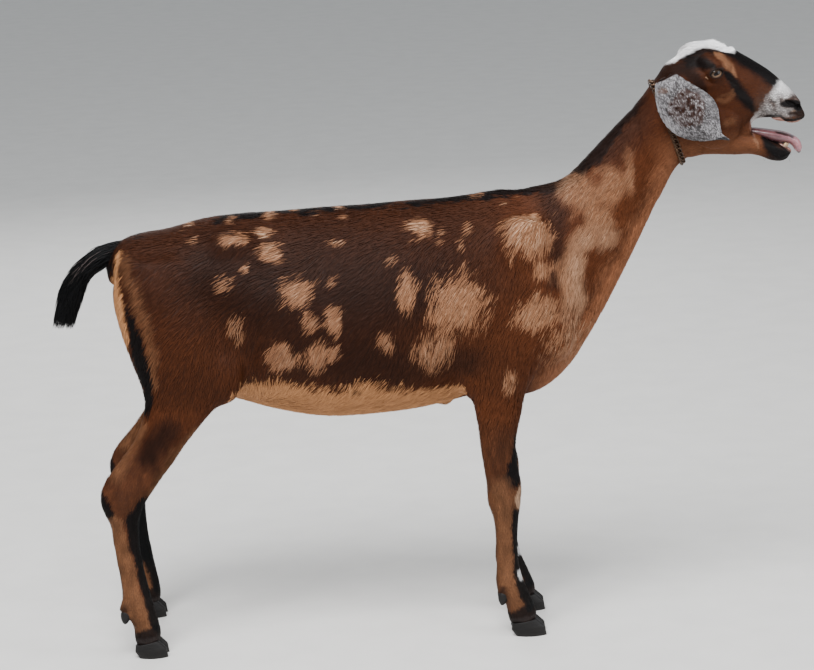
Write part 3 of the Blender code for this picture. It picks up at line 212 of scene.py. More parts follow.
# Markings in side view, in order: colour, strength and points (x, z, half width) in millimetres.
BODY_STROKES = [
    ("dark_brown", 0.75, (-330, 600, 40), (-230, 550, 75), (-100, 540, 85), (0, 570, 40)),
    ("dark_brown", 0.5, (-200, 465, 40), (-40, 445, 30), (60, 450, 20)),
    ("black", 0.92, (-340, 674, 4), (-120, 685, 8), (20, 693, 10), (90, 699, 14), (150, 702, 16),
     (215, 714, 18), (262, 750, 12), (315, 808, 9), (356, 856, 9)),
    ("dark_brown", 0.75, (195, 690, 22), (200, 640, 16), (196, 560, 10)),
    ("dark_brown", 0.55, (270, 742, 16), (293, 763, 24), (322, 801, 26), (345, 830, 22)),
    ("rust", 0.85, (395, 742, 20), (345, 640, 24), (290, 530, 28), (240, 440, 34), (190, 395, 26)),
    ("cream", 0.97, (-300, 398, 10), (-275, 388, 36), (-245, 382, 44), (-204, 370, 50), (-140, 360, 47),
     (-107, 368, 55), (-72, 366, 50), (-20, 366, 38), (40, 392, 12)),
    ("dark_brown", 0.8, (-120, 410.5, 4), (-112, 407.5, 4)),
    ("black", 0.9, (-515, 630, 16), (-482, 647, 9), (-440, 656, 6), (-400, 664, 3)),
    ("cream", 0.92, (-472, 622, 5), (-480, 600, 6), (-478, 560, 8), (-476, 520, 10), (-470, 480, 7),
     (-461, 450, 5)),
    ("bare_dark", 0.9, (-497, 612, 8), (-499, 590, 10), (-498, 576, 7)),
    ("tan", 0.6, (-463, 615, 8), (-457, 589, 9), (-444, 550, 8), (-431, 502, 7), (-425, 430, 6)),
    ("black", 0.96, (-463, 551, 3), (-456, 525, 8), (-448, 490, 9), (-440, 453, 9), (-437, 413, 7),
     (-440, 385, 3)),
]
LEG_STROKES = [
    ("dark_brown", 0.9, (-408, 364, 18), (-426, 343, 22), (-440, 318, 14)),
    ("tan", 0.85, (-362, 358, 6), (-394, 317, 11), (-413, 292, 11), (-437, 262, 6)),
    ("tan", 0.8, (-446, 370, 7), (-466, 338, 11), (-495, 295, 12)),
    ("black", 0.95, (-521, 262, 8), (-512, 238, 9), (-503, 220, 6)),
    ("tan", 0.92, (-497, 215, 14), (-492, 150, 24), (-488, 90, 28), (-462, 62, 26)),
    ("black", 0.97, (-450, 250, 8), (-467.5, 223.6, 15), (-466, 185, 10.5), (-461, 156, 9.5),
     (-457, 123.5, 9), (-452, 90, 8.5), (-445, 64.6, 8), (-440, 50, 9)),
    ("black", 0.92, (-486, 30, 9), (-460, 36, 11), (-436, 42, 13)),
    ("grey", 0.8, (-490, 20, 9), (-436, 26, 9)),
    ("dark_brown", 0.85, (-490, 82, 5), (-494, 74, 7), (-496, 64, 9)),
    ("black", 0.97, (127, 322, 3), (130, 290, 11), (126, 266, 16), (122, 258, 15)),
    ("tan", 0.9, (100, 240, 16), (106, 215, 22), (104, 160, 22), (108, 100, 26), (122, 64, 26)),
    ("pale", 0.6, (131, 239.5, 3), (127.5, 230, 4), (126.5, 219.5, 5), (129.7, 206.6, 3)),
    ("black", 0.97, (126.3, 196, 9), (124.9, 155, 10), (126, 125.7, 9), (125, 105, 10), (131, 75, 9),
     (142, 48, 8)),
    ("white", 0.5, (126.5, 101.5, 4), (128.5, 93, 4)),
    ("black", 0.92, (108, 30, 9), (130, 36, 11), (152, 42, 13)), ("grey", 0.8, (100, 20, 9), (155, 26, 9)),
    ("dark_brown", 0.85, (99, 78, 5), (96, 66, 8)),
]
# Pale spots of flank and neck: x, z, half width, half height and strength.
SPOTS = np.array([
    (-367, 662, 12, 11, 1), (-360, 642, 8, 6, 0.4), (-356, 676, 9, 4, 0.8), (-303, 670, 15, 9, 0.9),
    (-297, 647, 21, 11, 1), (-297, 682, 9, 5, 0.8), (-242, 674, 17, 14, 1), (-248, 653, 18, 8, 0.8),
    (-205, 680, 11, 6, 0.9), (-238, 627, 18, 17, 1), (-169, 674, 11, 6, 0.7), (-144, 687, 9, 5, 0.8),
    (-132, 680, 12, 6, 0.8), (-127, 668, 8, 6, 0.6), (-82, 686, 11, 5, 0.7), (-66, 676, 9, 6, 0.5),
    (-137, 635, 12, 8, 0.4), (-279, 603, 8, 8, 0.6), (-315, 584, 14, 11, 0.6), (-200, 569, 26, 25, 1),
    (-148, 583, 9, 8, 0.35), (-181, 527, 16, 20, 0.9), (-147, 525, 13, 25, 1), (-296, 517, 12, 25, 0.6),
    (-226, 469, 26, 23, 1), (-175, 467, 20, 25, 1), (-150, 469, 12, 16, 0.9), (-67, 487, 14, 14, 0.9),
    (-33, 569, 14, 31, 1), (-58, 607, 8, 9, 0.4), (-12, 652, 18, 14, 1), (27, 638, 6, 8, 0.5),
    (63, 646, 6, 12, 0.8), (54, 622, 6, 8, 0.5), (83, 694, 19, 7, 0.9), (116, 677, 9, 6, 0.8),
    (145, 682, 8, 5, 0.5), (156, 639, 37, 42, 1), (173, 583, 14, 11, 0.9), (163, 544, 6, 9, 0.6),
    (167, 516, 34, 26, 1), (46, 541, 46, 48, 1), (7, 470, 34, 33, 0.85), (218, 560, 21, 58, 0.95),
    (237, 699, 26, 26, 0.6), (273, 643, 19, 34, 0.45), (241, 627, 14, 16, 0.5), (287, 709, 17, 25, 0.55),
    (209, 463, 34, 40, 0.5), (118, 414, 13, 21, 0.8), (315, 719, 9, 31, 0.4), (-262, 685, 12, 6, 0.9),
    (-222, 687, 10, 5, 0.8), (-185, 687, 14, 5, 0.9), (-158, 683, 10, 5, 0.7), (-105, 691, 12, 4, 0.7),
    (255, 665, 10, 20, 0.4),
]) / (1000, 1000, 1000, 1000, 1)
HEAD_STROKES = [
    ("dark_brown", 0.9, (360, 868, 10), (383, 878, 10), (402, 878, 10), (420, 860, 8), (432, 845, 4)),
    ("black", 0.85, (398, 895, 4), (420.5, 901, 4), (435, 905, 4), (456, 900, 4)),
    ("black", 0.92, (410, 889, 9), (422.2, 889, 11), (434, 886.5, 9), (446, 882, 4)),
    ("spot", 0.95, (450, 899, 2.5), (461.5, 892, 5), (470.3, 881, 5.5), (475.5, 872, 4), (479, 865.5, 2)),
    ("black", 0.97, (464, 901, 5), (482, 896, 9), (500.2, 886, 11), (518, 874.5, 13), (535.9, 860.5, 13),
     (544, 851, 9)),
    ("black", 0.95, (459.4, 873.4, 3), (470.1, 864, 6), (479, 851, 9), (489.3, 835, 9), (499.9, 821.5, 9),
     (506, 813, 6)),
    ("tan", 0.6, (451.4, 830.8, 3), (463.9, 828.6, 4), (474, 837.1, 4)),
    ("tan", 0.4, (458.7, 837.8, 2), (469, 840, 2), (474.9, 844.3, 2)),
    ("tan", 0.5, (463.7, 794.1, 6), (473, 798, 6)),
    ("white", 0.9, (554, 846, 6), (556, 837, 13), (545, 826, 13), (532, 813, 12), (520, 802, 8),
     (508, 793, 4)),
    ("white", 0.75, (570, 806, 6), (552, 805, 8), (535, 803, 7)),
    ("grey", 0.75, (534.4, 821.6, 2), (539.7, 815.9, 2)),
    ("grey", 0.75, (553, 824.4, 2.5), (553, 817.2, 2.5)),
    ("white", 0.97, (373, 885, 4), (389, 894, 4.8), (405, 902, 5.3), (420, 911, 6.2), (435, 917, 6.8),
     (448, 916.5, 7), (464, 912.5, 7.5), (479, 902, 4.5)),
    ("white", 0.75, (564, 840, 8), (576, 829, 8), (585, 816, 6)), ("pink", 0.5, (576, 827, 5), (585, 816, 5)),
    ("black", 0.9, (558.6, 821.7, 3), (567.6, 823, 4), (578.3, 813, 5)),
    ("grey", 0.6, (507.7, 772.9, 2), (510, 765, 1)),
    ("pale", 0.16, (510, 764, 2.5), (513, 758, 1.5), (514.7, 750.8, 1)),
    ("black", 0.97, (522.2, 765, 3), (532, 753, 8), (543.6, 742, 13), (556, 739, 13)),
    ("pale", 0.7, (432.5, 866.5, 0.7), (434.5, 864, 0.7)),
    ("pink", 0.3, (511, 800, 2), (504, 789.3, 2), (505, 778.5, 2), (510.8, 768.9, 1.5)),
]
# These are laid over the muzzle's ticking.
NOSE_STROKES = [
    ("dark_brown", 0.7, (562, 820, 6), (575, 815, 9.5), (584, 808, 8)),
    ("dark_brown", 0.95, (564, 803, 3), (573.5, 801.5, 4.5), (587, 799, 6)),
    ("pale", 0.2, (567, 805.5, 1.2), (573, 806.2, 1.2)),
    ("grey", 0.8, (534, 826.2, 1.2), (537.5, 821, 1.2), (542.5, 819.5, 1.2)),
    ("grey", 0.8, (550, 824, 1.5), (552, 817.9, 2), (556, 814.5, 1.5)),
]
# How the hair lies, in centimetres: x, distance from the middle plane and z, then the way it points.
LIE = [
    (-40, 0, 66, -100, 0, -15), (-20, 0, 68, -100, 0, 0), (0, 0, 69, -100, 0, 0), (15, 0, 70, -100, 0, -10),
    (-40, 9, 58, -75, 5, -65), (-25, 12, 60, -85, 10, -50), (-10, 12, 60, -70, 10, -70),
    (5, 11, 60, -55, 10, -80), (16, 8, 60, -30, 10, -95), (-22, 12, 46, -55, 0, -80),
    (-5, 13, 46, -45, 0, -90), (10, 10, 48, -30, 0, -95), (-20, 4, 36, -95, -20, -10),
    (0, 4, 36, -95, -20, -10), (20, 3, 43, -35, -30, -90), (-29, 10, 43, -20, 0, -100),
    (-45, 7, 48, -35, 0, -95), (-36, 10, 42, -40, 0, -95), (-42, 9, 34, -60, 0, -80),
    (-48, 10, 27, -25, 0, -100), (-48, 10, 15, 5, 0, -100), (-46, 10, 4, 35, 0, -100),
    (11, 7, 36, -10, 0, -100), (11, 7, 20, 0, 0, -100), (12, 7, 4, 30, 0, -100), (22, 5, 60, -35, 5, -95),
    (28, 4, 66, -50, 5, -90), (33, 4, 75, -55, 5, -90), (36, 2, 84, -75, 0, -70), (33, 0, 62, -40, 0, -90),
    (40, 2, 90, -90, 0, -40), (43, 0, 92, -60, 0, 30), (47, 0, 91, 70, 0, 50), (49, 3, 89, -80, 10, 50),
    (53, 2, 86, -80, 20, 50), (57, 1, 83, -60, 50, 50), (54, 3, 82, -90, 10, 10), (48, 4, 84, -90, 10, -20),
    (44, 5, 83, -80, 0, -50), (45, 5, 78, -80, 0, -50), (52, 2, 75, -90, 0, -20), (55, 1, 73, -70, 0, -60),
    (58, 2, 80, -20, 30, -90), (44, 3, 74, -95, 0, -10),
]
EAR_LIE = [
    (37, 5, 86, 20, 30, -90), (40, 6, 82, 20, 10, -100), (40, 7, 78, 70, 10, -70), (45, 8, 79, 30, 0, -100),
    (46, 8, 77.5, 100, 0, -20),
]
EAR_STROKES = [
    ("tan", 0.45, (362.7, 848.8, 4), (369.8, 850.3, 4)),
    ("black", 0.8, (440, 773, 2), (456, 776, 3), (466.6, 770, 3)),
    ("black", 0.6, (410, 770, 1.2), (440, 771.2, 1.5)),
]
# Each piece of the coat, in the order of region_of: its number of tufts, and its unwrap, as a point
# on the axis, the axis and the length to share out.
HAIR_PIECES = [
    ("coat_shoulders", 28000, (0, 0, 0.52), (1, 0, 0), 0.27),
    ("coat_barrel", 29000, (-0.2, 0, 0.52), (1, 0, 0), 0.24),
    ("coat_rump", 28000, (-0.51, 0, 0.52), (1, 0, 0), 0.32),
    ("coat_neck", 25000, (0.13, 0, 0.54), (0.66, 0, 0.75), 0.36),
    ("coat_face_right", 19000, (0.34, -0.001, 0.82), (1, 0, 0), 0.26),
    ("coat_face_left", 19000, (0.34, 0.001, 0.82), (1, 0, 0), 0.26),
    ("coat_leg_fore_right", 12500, (0.11, -0.066, 0), (0, 0, 1), 0.4),
    ("coat_leg_fore_left", 12500, (0.115, 0.066, 0), (0, 0, 1), 0.4),
    ("coat_leg_hind_right", 17000, (-0.47, -0.1, 0), (0, 0, 1), 0.42),
    ("coat_leg_hind_left", 17000, (-0.488, 0.1, 0), (0, 0, 1), 0.42),
    ("coat_ear_right", 9500, (0.41, -0.058, 0.76), (0, 0, 1), 0.125),
    ("coat_ear_left", 9500, (0.422, 0.058, 0.75), (0, 0, 1), 0.125),
]


# Settings


def colour(name, description, default):
    return FloatVectorProperty(name=name, description=description, default=default, min=0, max=1, subtype="COLOR")


def size(name, description, default):
    return FloatProperty(name=name, description=description, default=default, min=0, precision=4, unit="LENGTH")


def share(name, description, default):
    return FloatProperty(name=name, description=description, default=default, min=0, max=4, subtype="FACTOR")


def power(name, description, default):
    return FloatProperty(name=name, description=description, default=default, min=0, unit="POWER")


def number(name, description, default):
    return IntProperty(name=name, description=description, default=default, min=1)


class CoatColours(bpy.types.PropertyGroup):
    """The colours of hair, horn and bare skin."""

    chestnut: colour("Chestnut", "Ground colour of the coat", (0.045, 0.0129, 0.0044))
    dark_brown: colour("Dark brown", "Cloudy dark saddle on the barrel", (0.013, 0.0046, 0.0025))
    black: colour("Black", "Stripes of the face, back and legs", (0.0018, 0.0018, 0.0021))
    tan: colour("Tan", "Shanks and brow streaks", (0.125, 0.054, 0.025))
    spot: colour("Spot", "Pale spots of the flank and neck", (0.2, 0.09, 0.045))
    pale: colour("Pale", "White tips in the spots", (0.48, 0.31, 0.2))
    cream: colour("Cream", "Belly and the edge of the thigh", (0.41, 0.19, 0.082))
    rust: colour("Rust", "Front of the neck and brisket", (0.25, 0.098, 0.046))
    white: colour("White", "Poll and muzzle", (0.9, 0.89, 0.89))
    grey: colour("Grey", "Ticking in the white hair", (0.026, 0.02, 0.019))
    pink: colour("Bare pink", "Lips' inner side and the pad", (0.33, 0.175, 0.14))
    bare_dark: colour("Bare dark", "Nostrils and lid rims", (0.0045, 0.0035, 0.0035))
    horn: colour("Horn", "Hooves and dewclaws", (0.0046, 0.0038, 0.0036))
    tongue: colour("Tongue", "Wet upper side of the tongue", (0.12, 0.044, 0.05))
    tooth: colour("Tooth", "Stained enamel", (0.38, 0.26, 0.14))
    iris: colour("Iris", "Grey brown of the eye", (0.1, 0.06, 0.036))
    bronze: colour("Bronze", "Tarnished chain", (0.06, 0.034, 0.02))


class CoatSizes(bpy.types.PropertyGroup):
    """How deep and how long the hair is."""

    body_depth: size("Body depth", "From the skin to the coat's surface on the body", 0.003)
    face_depth: size("Face depth", "From the skin to the coat's surface on the head", 0.0012)
    body_length: size("Body hair", "Length of a tuft on the barrel", 0.021)
    leg_length: size("Leg hair", "Length of a tuft on the shanks", 0.009)
    face_length: size("Face hair", "Length of a tuft on the face", 0.0062)
    poll_length: size("Poll hair", "Length of the tuft on the poll", 0.013)
    fullness: share("Fullness", "Share of the planned number of tufts", 1.0)
    seed: number("Seed", "Start of the random draw", 11)


class HeadSizes(bpy.types.PropertyGroup):
    """The eyes, lids and teeth."""

    eye_radius: size("Eye radius", "Radius of the eyeball", 0.0125)
    lid_thickness: size("Lid thickness", "How far a lid stands over the eyeball", 0.002)
    opening_length: size("Opening length", "Corner to corner between the lids", 0.0213)
    opening_height: size("Opening height", "Between the lids at their widest", 0.0124)
    teeth: number("Incisors", "Number of lower incisors", 8)


class ChainSizes(bpy.types.PropertyGroup):
    """The neck chain."""

    links: number("Links", "Number of links", 40)
    length: size("Link length", "Outer length of one link, less its wire", 0.0125)
    width: size("Link width", "Outer width of one link, less its wire", 0.0078)
    wire: size("Wire radius", "Radius of the wire", 0.0015)
    stand_off: size("Stand-off", "From the neck to the chain's middle line", 0.0024)


class StageLook(bpy.types.PropertyGroup):
    """The floor and the light."""

    floor: colour("Floor", "Pale floor", (0.62, 0.61, 0.59))
    sky: colour("Surround", "Light that comes from all round", (0.78, 0.82, 0.86))
    surround: share("Surround strength", "Strength of the light from all round", 0.7)
    key_power: power("Key light", "Power of the large lamp", 430)
    fill_power: power("Fill light", "Power of each small lamp", 70)


# Surfaces


def smooth_rows(rows, steps):
    """Rows of numbers with a Catmull-Rom cubic through each column, steps rows to a span."""
    rows = np.asarray(rows, float)
    padded = np.vstack([2 * rows[0] - rows[1], rows, 2 * rows[-1] - rows[-2]])
    t = (np.arange(steps) / steps)[:, None, None]
    a, b, c, d = padded[:-3], padded[1:-2], padded[2:-1], padded[3:]
    spans = 0.5 * (2 * b + (c - a) * t + (2 * a - 5 * b + 4 * c - d) * t**2 + (3 * b - a - 3 * c + d) * t**3)
    return np.vstack([spans.transpose(1, 0, 2).reshape(-1, rows.shape[1]), rows[-1:]])


def ramp(value, width=1):
    """Rises evenly from 0 to 1 as the value goes from 0 to the width."""
    return np.clip(value / width, 0, 1)


def turns(count):
    """Angles spaced evenly round a circle."""
    return np.linspace(0, 2 * math.pi, count, endpoint=False)


def span(vectors):
    """The length of each vector."""
    return np.linalg.norm(vectors, axis=-1)


def packed(*parts):
    """Numbers side by side as the last axis of one array."""
    return np.stack(np.broadcast_arrays(*parts), axis=-1)


def rotation(degrees, axis):
    """The matrix of a turn about X, Y or Z."""
    return np.array(Matrix.Rotation(math.radians(degrees), 3, axis))


def signed_power(value, power):
    """|value| to the power, with the sign of value."""
    return np.sign(value) * np.abs(value) ** power


def loft_rings(table, around, steps):
    """Rings of a loft. At angle a the point is half width * cos(a)^(2/r) across, and it stands at
    the widest share plus the rest of the way * sin(a)^(2/r) up the line from lower to upper point."""
    rows = smooth_rows(table, steps)[:, None, :]
    lower_x, lower_z, upper_x, upper_z, half_width, centre_y, widest, low, high = np.moveaxis(rows, 2, 0)
    turn = turns(around)[None, :]
    upper_half = np.sin(turn) >= 0
    power = 2 / np.where(upper_half, high, low)
    across = half_width * signed_power(np.cos(turn), power)
    up = np.where(upper_half, 1 - widest, widest) * signed_power(np.sin(turn), power) + widest
    x = lower_x + (upper_x - lower_x) * up
    z = lower_z + (upper_z - lower_z) * up
    return packed(x, centre_y + across, z)


def grid_faces(rows, columns, closed_rows=False):
    """Quads of a grid of points, wrapped round from the last column to the first, and the rows too
    where they are closed."""
    row = np.arange(rows if closed_rows else rows - 1)[:, None]
    column = np.arange(columns)[None, :]
    here = row * columns + column
    beside = row * columns + (column + 1) % columns
    next_row = (row + 1) % rows * columns
    return packed(here, beside, next_row + (column + 1) % columns, next_row + column).reshape(-1, 4)


def linked(name, data):
    """A new object in the scene."""
    made = bpy.data.objects.new(name, data)
    bpy.context.scene.collection.objects.link(made)
    return made


def new_object(name, points, faces):
    """A mesh object from an array of points and an array of faces, or a list where faces differ."""
    mesh = bpy.data.meshes.new(name)
    if isinstance(faces, list):
        mesh.from_pydata(points.tolist(), [], faces)
    else:
        mesh.vertices.add(len(points))
        mesh.vertices.foreach_set("co", np.ascontiguousarray(points, np.float32).ravel())
        mesh.loops.add(faces.size)
        mesh.loops.foreach_set("vertex_index", np.ascontiguousarray(faces, np.int32).ravel())
        mesh.polygons.add(len(faces))
        mesh.polygons.foreach_set("loop_start", np.arange(0, faces.size, faces.shape[1], dtype=np.int32))
        mesh.update(calc_edges=True)
    return linked(name, mesh)


def outward(obj):
    """Turns every face of a closed mesh outwards."""
    work = bmesh.new()
    work.from_mesh(obj.data)
    bmesh.ops.recalc_face_normals(work, faces=work.faces)
    work.to_mesh(obj.data)
    work.free()
    return obj


def closed_grid(name, rings, folded=False):
    """A closed surface through rings of equal count. Each end is drawn in to a pole, or, on a folded
    sheet, sewn across from one face to the other."""
    count, around, _ = rings.shape
    points = rings.reshape(-1, 3)
    last = (count - 1) * around
    if folded:
        k = np.arange(around // 2 - 1)
        ends = packed(k, k + 1, around - 2 - k, around - 1 - k)
        return outward(new_object(name, points, np.vstack([grid_faces(count, around), ends, ends[:, ::-1] + last])))
    k = np.arange(around)
    next_k = (k + 1) % around
    fans = np.vstack([packed(count * around, next_k, k), packed(count * around + 1, last + k, last + next_k)])
    points = np.vstack([points, rings[0].mean(0), rings[-1].mean(0)])
    return outward(new_object(name, points, grid_faces(count, around).tolist() + fans.tolist()))


def ellipsoid(centre, radii, pitch=0, around=20, taper=0.0):
    """A ball of points (cos, sin) scaled by its radii, narrowed downwards by taper, and turned by
    pitch degrees about +Y."""
    polar = np.linspace(0, math.pi, around // 2 + 2)[1:-1, None]
    turn = turns(around)[None, :]
    ball = packed(np.sin(polar) * np.cos(turn), np.sin(polar) * np.sin(turn), np.cos(polar))
    ball[..., :2] *= 1 + taper * ball[..., 2:]
    return closed_grid("mass", (ball * radii) @ rotation(pitch, "Y").T + centre)


def both_sides(masses):
    """Ellipsoids of a table, with those off the middle plane made on both sides."""
    made = []
    for *row, pitch in masses:
        (x, y, z), radii = np.reshape(row, (2, 3)) / 1000
        for side in SIDES if y else (LEFT,):
            made.append(ellipsoid((x, y * side, z), radii, pitch))
    return made


def ear_rings(side, steps, count):
    """The ear as a sheet: each ring runs out along its outer face and back along its inner one.
    Across the leaf, from -1 to 1, the middle bulges by the bulge * (1 - across squared)."""
    across = np.linspace(-1, 1, count)[None, :]
    shift_x, shift_z = EAR_SHIFTS[side]
    rear_x, rear_z, front_x, front_z, rear_y, front_y, bulge = smooth_rows(EAR, steps).T[:, :, None]
    part = (across + 1) / 2
    x = shift_x + rear_x + (front_x - rear_x) * part
    z = shift_z + rear_z + (front_z - rear_z) * part
    y = rear_y + (front_y - rear_y) * part + bulge * (1 - across**2)
    inner = y - EAR_THICKNESS * (1 - 0.45 * across**4)
    return np.hstack([packed(x, side * y, z), packed(x, side * inner, z)[:, ::-1]])


def far_foot_shift(hind, z):
    """How far forward the left leg stands of the right one at height z."""
    fade = np.clip(1 - z / 0.45, 0, 1)
    return -0.018 * fade**1.6 if hind else 0.005 * fade


def leg_sections(pair, side):
    """A leg's sections on one side, with the far foot set where it stands."""
    rows = (HIND_LEG if pair == "hind" else FORE_LEG).copy()
    rows[:, 5] *= side
    if side == LEFT:
        shift = far_foot_shift(pair == "hind", (rows[:, 1] + rows[:, 3]) / 2)
        rows[:, 0] += shift
        rows[:, 2] += shift
    return rows


def read(rows, field, kind=np.float32):
    """Three numbers of each row of a mesh's points, normals or triangles."""
    values = np.empty(len(rows) * 3, kind)
    rows.foreach_get(field, values)
    return values.reshape(-1, 3)


def read_points(mesh):
    return read(mesh.vertices, "co").astype(float)


def read_normals(mesh):
    return read(mesh.vertex_normals, "vector").astype(float)


def read_triangles(mesh):
    mesh.calc_loop_triangles()
    return read(mesh.loop_triangles, "vertices", np.int32)


def remove(objects):
    for obj in objects:
        bpy.data.objects.remove(obj, do_unlink=True)


def modified(obj, kind, **values):
    """Adds a modifier with these values."""
    added = obj.modifiers.new(kind, kind)
    for name, value in values.items():
        setattr(added, name, value)
    return obj


def apply_modifiers(obj):
    bpy.context.view_layer.update()
    graph = bpy.context.evaluated_depsgraph_get()
    mesh = bpy.data.meshes.new_from_object(obj.evaluated_get(graph))
    obj.modifiers.clear()
    obj.data = mesh
    return obj


def joined(name, pieces):
    """Several closed meshes as one object, each left whole."""
    work = bmesh.new()
    for piece in pieces:
        work.from_mesh(piece.data)
    mesh = bpy.data.meshes.new(name)
    work.to_mesh(mesh)
    work.free()
    remove(pieces)
    return linked(name, mesh)


def fused(name, pieces, voxel, easing, upper_easing=0):
    """The pieces as one smooth closed surface; upper_easing smooths the barrel further."""
    whole = apply_modifiers(modified(joined(name, pieces), "REMESH", mode="VOXEL", voxel_size=voxel))
    modified(whole, "SMOOTH", factor=0.5, iterations=easing)
    if upper_easing:
        high = whole.vertex_groups.new(name="barrel")
        levels = np.ceil(ramp(read_points(whole.data)[:, 2] - 0.375, 0.08) * 10)
        for level in range(1, 11):
            high.add(np.flatnonzero(levels == level).tolist(), level / 10, "REPLACE")
        modified(whole, "SMOOTH", factor=0.5, iterations=upper_easing, vertex_group="barrel")
    return apply_modifiers(whole)


def cut(obj, others):
    """obj less other closed objects, which are then removed."""
    tools = bpy.data.collections.new("tools")
    bpy.context.scene.collection.children.link(tools)
    for other in others:
        bpy.context.scene.collection.objects.unlink(other)
        tools.objects.link(other)
    modified(obj, "BOOLEAN", operation="DIFFERENCE", operand_type="COLLECTION", collection=tools, solver="MANIFOLD")
    apply_modifiers(obj)
    remove(others)
    bpy.data.collections.remove(tools)
    return obj


def thinned(obj, most):
    """obj brought down to a number of triangles, mostly where it is flat."""
    return apply_modifiers(modified(obj, "DECIMATE", ratio=min(1, most / len(read_triangles(obj.data)))))


# The skin


def nearest_on(points, surface, rise=0.0):
    """The closest place on a surface to each point, raised from it by rise."""
    probe = new_object("probe", points, [])
    mode = "ABOVE_SURFACE" if rise else "ON_SURFACE"
    modified(probe, "SHRINKWRAP", target=surface, wrap_mode=mode, offset=rise)
    found = read_points(apply_modifiers(probe).data)
    remove([probe])
    return found


def unit(vectors):
    """The vectors brought to length 1."""
    return vectors / np.maximum(np.linalg.norm(vectors, axis=-1, keepdims=True), 1e-9)


def noise(points, size, seed=0):
    """Smooth random heights from 0 to 1: hashed values at the corners of a lattice, blended."""
    cell = points / size
    low = np.floor(cell).astype(np.int64)
    part = cell - low
    part = part * part * (3 - 2 * part)
    total = np.zeros(len(points))
    for corner in range(8):
        step = np.array([corner & 1, corner >> 1 & 1, corner >> 2])
        key = ((low + step) * (73856093, 19349663, 83492791)).sum(axis=1) + seed * 668265263
        key &= 0xFFFFFFFF
        key = (key ^ key >> 13) * 1274126177 & 0xFFFFFFFF
        key ^= key >> 16
        total += (key & 0xFFFF) / 65535 * np.where(step, part, 1 - part).prod(axis=1)
    return total


def wave(points, size, seed, height):
    """Noise about 0, of this height from its lowest to its highest."""
    return (noise(points, size, seed) - 0.5) * height


def near_side(points):
    """The points as if all were on the right: |y|, with the far feet's shift taken out."""
    x, y, z = points.T
    hind = far_foot_shift(True, z) * (x < -0.25)
    fore = far_foot_shift(False, z) * ((x > -0.05) & (x < 0.25))
    return packed(x - np.where(y > 0, hind + fore, 0), np.abs(y), z)


def beyond_neck(points):
    """How far a point lies beyond the join of neck and head."""
    return (points - np.array(NECK_JOIN[0])) @ np.array(NECK_JOIN[1])


def line_gap(points, line):
    """Distance of each point from a line of points."""
    best = np.full(len(points), np.inf)
    for start, end in zip(line, line[1:]):
        start, run = np.array(start), np.array(end) - np.array(start)
        part = ramp((points - start) @ run, run @ run)[:, None]
        best = np.minimum(best, span(points - start - run * part))
    return best


def eye_frame(side):
    """The eye's centre, the way it looks, the way its opening runs, and the way up across it."""
    gaze = unit(EYE_GAZE * np.array([1, side, 1]))
    slit = np.array([math.cos(SLIT_TILT), 0, math.sin(SLIT_TILT)])
    slit = unit(slit - gaze * (slit @ gaze))
    return EYE_CENTRE * np.array([1, side, 1]), gaze, slit, np.cross(gaze, slit) * -side


def almond(sizes, turn, grow=0.0):
    """The eye's opening: half length * cos, half height * sin to the power 1.25 with its sign."""
    along = (sizes.opening_length / 2 + grow) * np.cos(turn)
    return along, (sizes.opening_height / 2 + grow) * signed_power(np.sin(turn), 1.25)


def from_eye(points, side):
    """Points as seen from the eye: along its opening, up across it, and out along its gaze."""
    centre, gaze, slit, rise = eye_frame(side)
    return ((points - centre) @ packed(slit, rise, gaze)).T


def ear_share(points, first=5):
    """1 on an ear and 0 away from it, from the distance to the ears' sheets past their first rings."""
    share = np.zeros(len(points))
    for side in SIDES:
        rings = ear_rings(side, 4, 20)[first:]
        sheet = new_object("sheet", rings.reshape(-1, 3), grid_faces(len(rings), 40))
        near = np.flatnonzero((points[:, 0] > 0.34) & (points[:, 0] < 0.49) & (points[:, 1] * side > 0.035))
        gap = span(points[near] - nearest_on(points[near], sheet))
        share[near] = np.maximum(share[near], ramp(0.0036 - gap, 0.0014))
        remove([sheet])
    return share


def lip_heights(x):
    """The heights of the upper and the lower edge of the open mouth at each x."""
    return [np.interp(x, *np.reshape(edge, (2, -1)) / 1000) for edge in (UPPER_LIP, LOWER_LIP)]


def bare_share(points):
    """1 where no hair grows: in the mouth, the nostrils and the eyes' openings, and on the hooves' rim."""
    x, y, z = points.T
    upper, lower = lip_heights(x)
    bare = (x > 0.504) & (z < upper - 0.0003) & (z > lower + 0.0003)
    for centre, radii, _ in NOSTRIL_HOLLOWS:
        bare |= span((packed(x, np.abs(y), z) - centre) / (np.array(radii) * 1.12)) < 1
    for side in SIDES:
        along, up, out = from_eye(points, side)
        bare |= (np.hypot(along / 0.0113, up / 0.007) < 1) & (out > 0) & (out < 0.03)
    near = near_side(points)
    return bare | (near[:, 2] < 0.019) | (span(near - (-0.343, 0.026, 0.376)) < 0.016)


def coat_depth(points, ear, sizes):
    """How deep the coat is: full on the body, thin on shanks and face, least on muzzle and ears."""
    x, _, z = points.T
    ahead = ramp(beyond_neck(points), 0.05)
    low = ramp(0.38 - z, 0.22)
    depth = sizes.body_depth * (1 - ahead) * (1 - 0.74 * low) + sizes.face_depth * ahead
    depth *= 1 - 0.7 * ramp(x - 0.49, 0.04)
    poll = ramp(z - np.interp(x, [0.36, 0.435, 0.48], [0.876, 0.905, 0.893]), 0.008)
    depth += 0.003 * poll * ramp(np.minimum(x - 0.362, 0.48 - x), 0.015)
    for side in SIDES:
        gap = span(points - eye_frame(side)[0])
        depth *= np.clip((gap - 0.013) / 0.01, 0.2, 1)
        gap = span(points - TEAT * np.array([1, side, 1]))
        depth *= ramp(gap - 0.014, 0.012)
    return depth * (1 - ear) + 0.0004 * ear


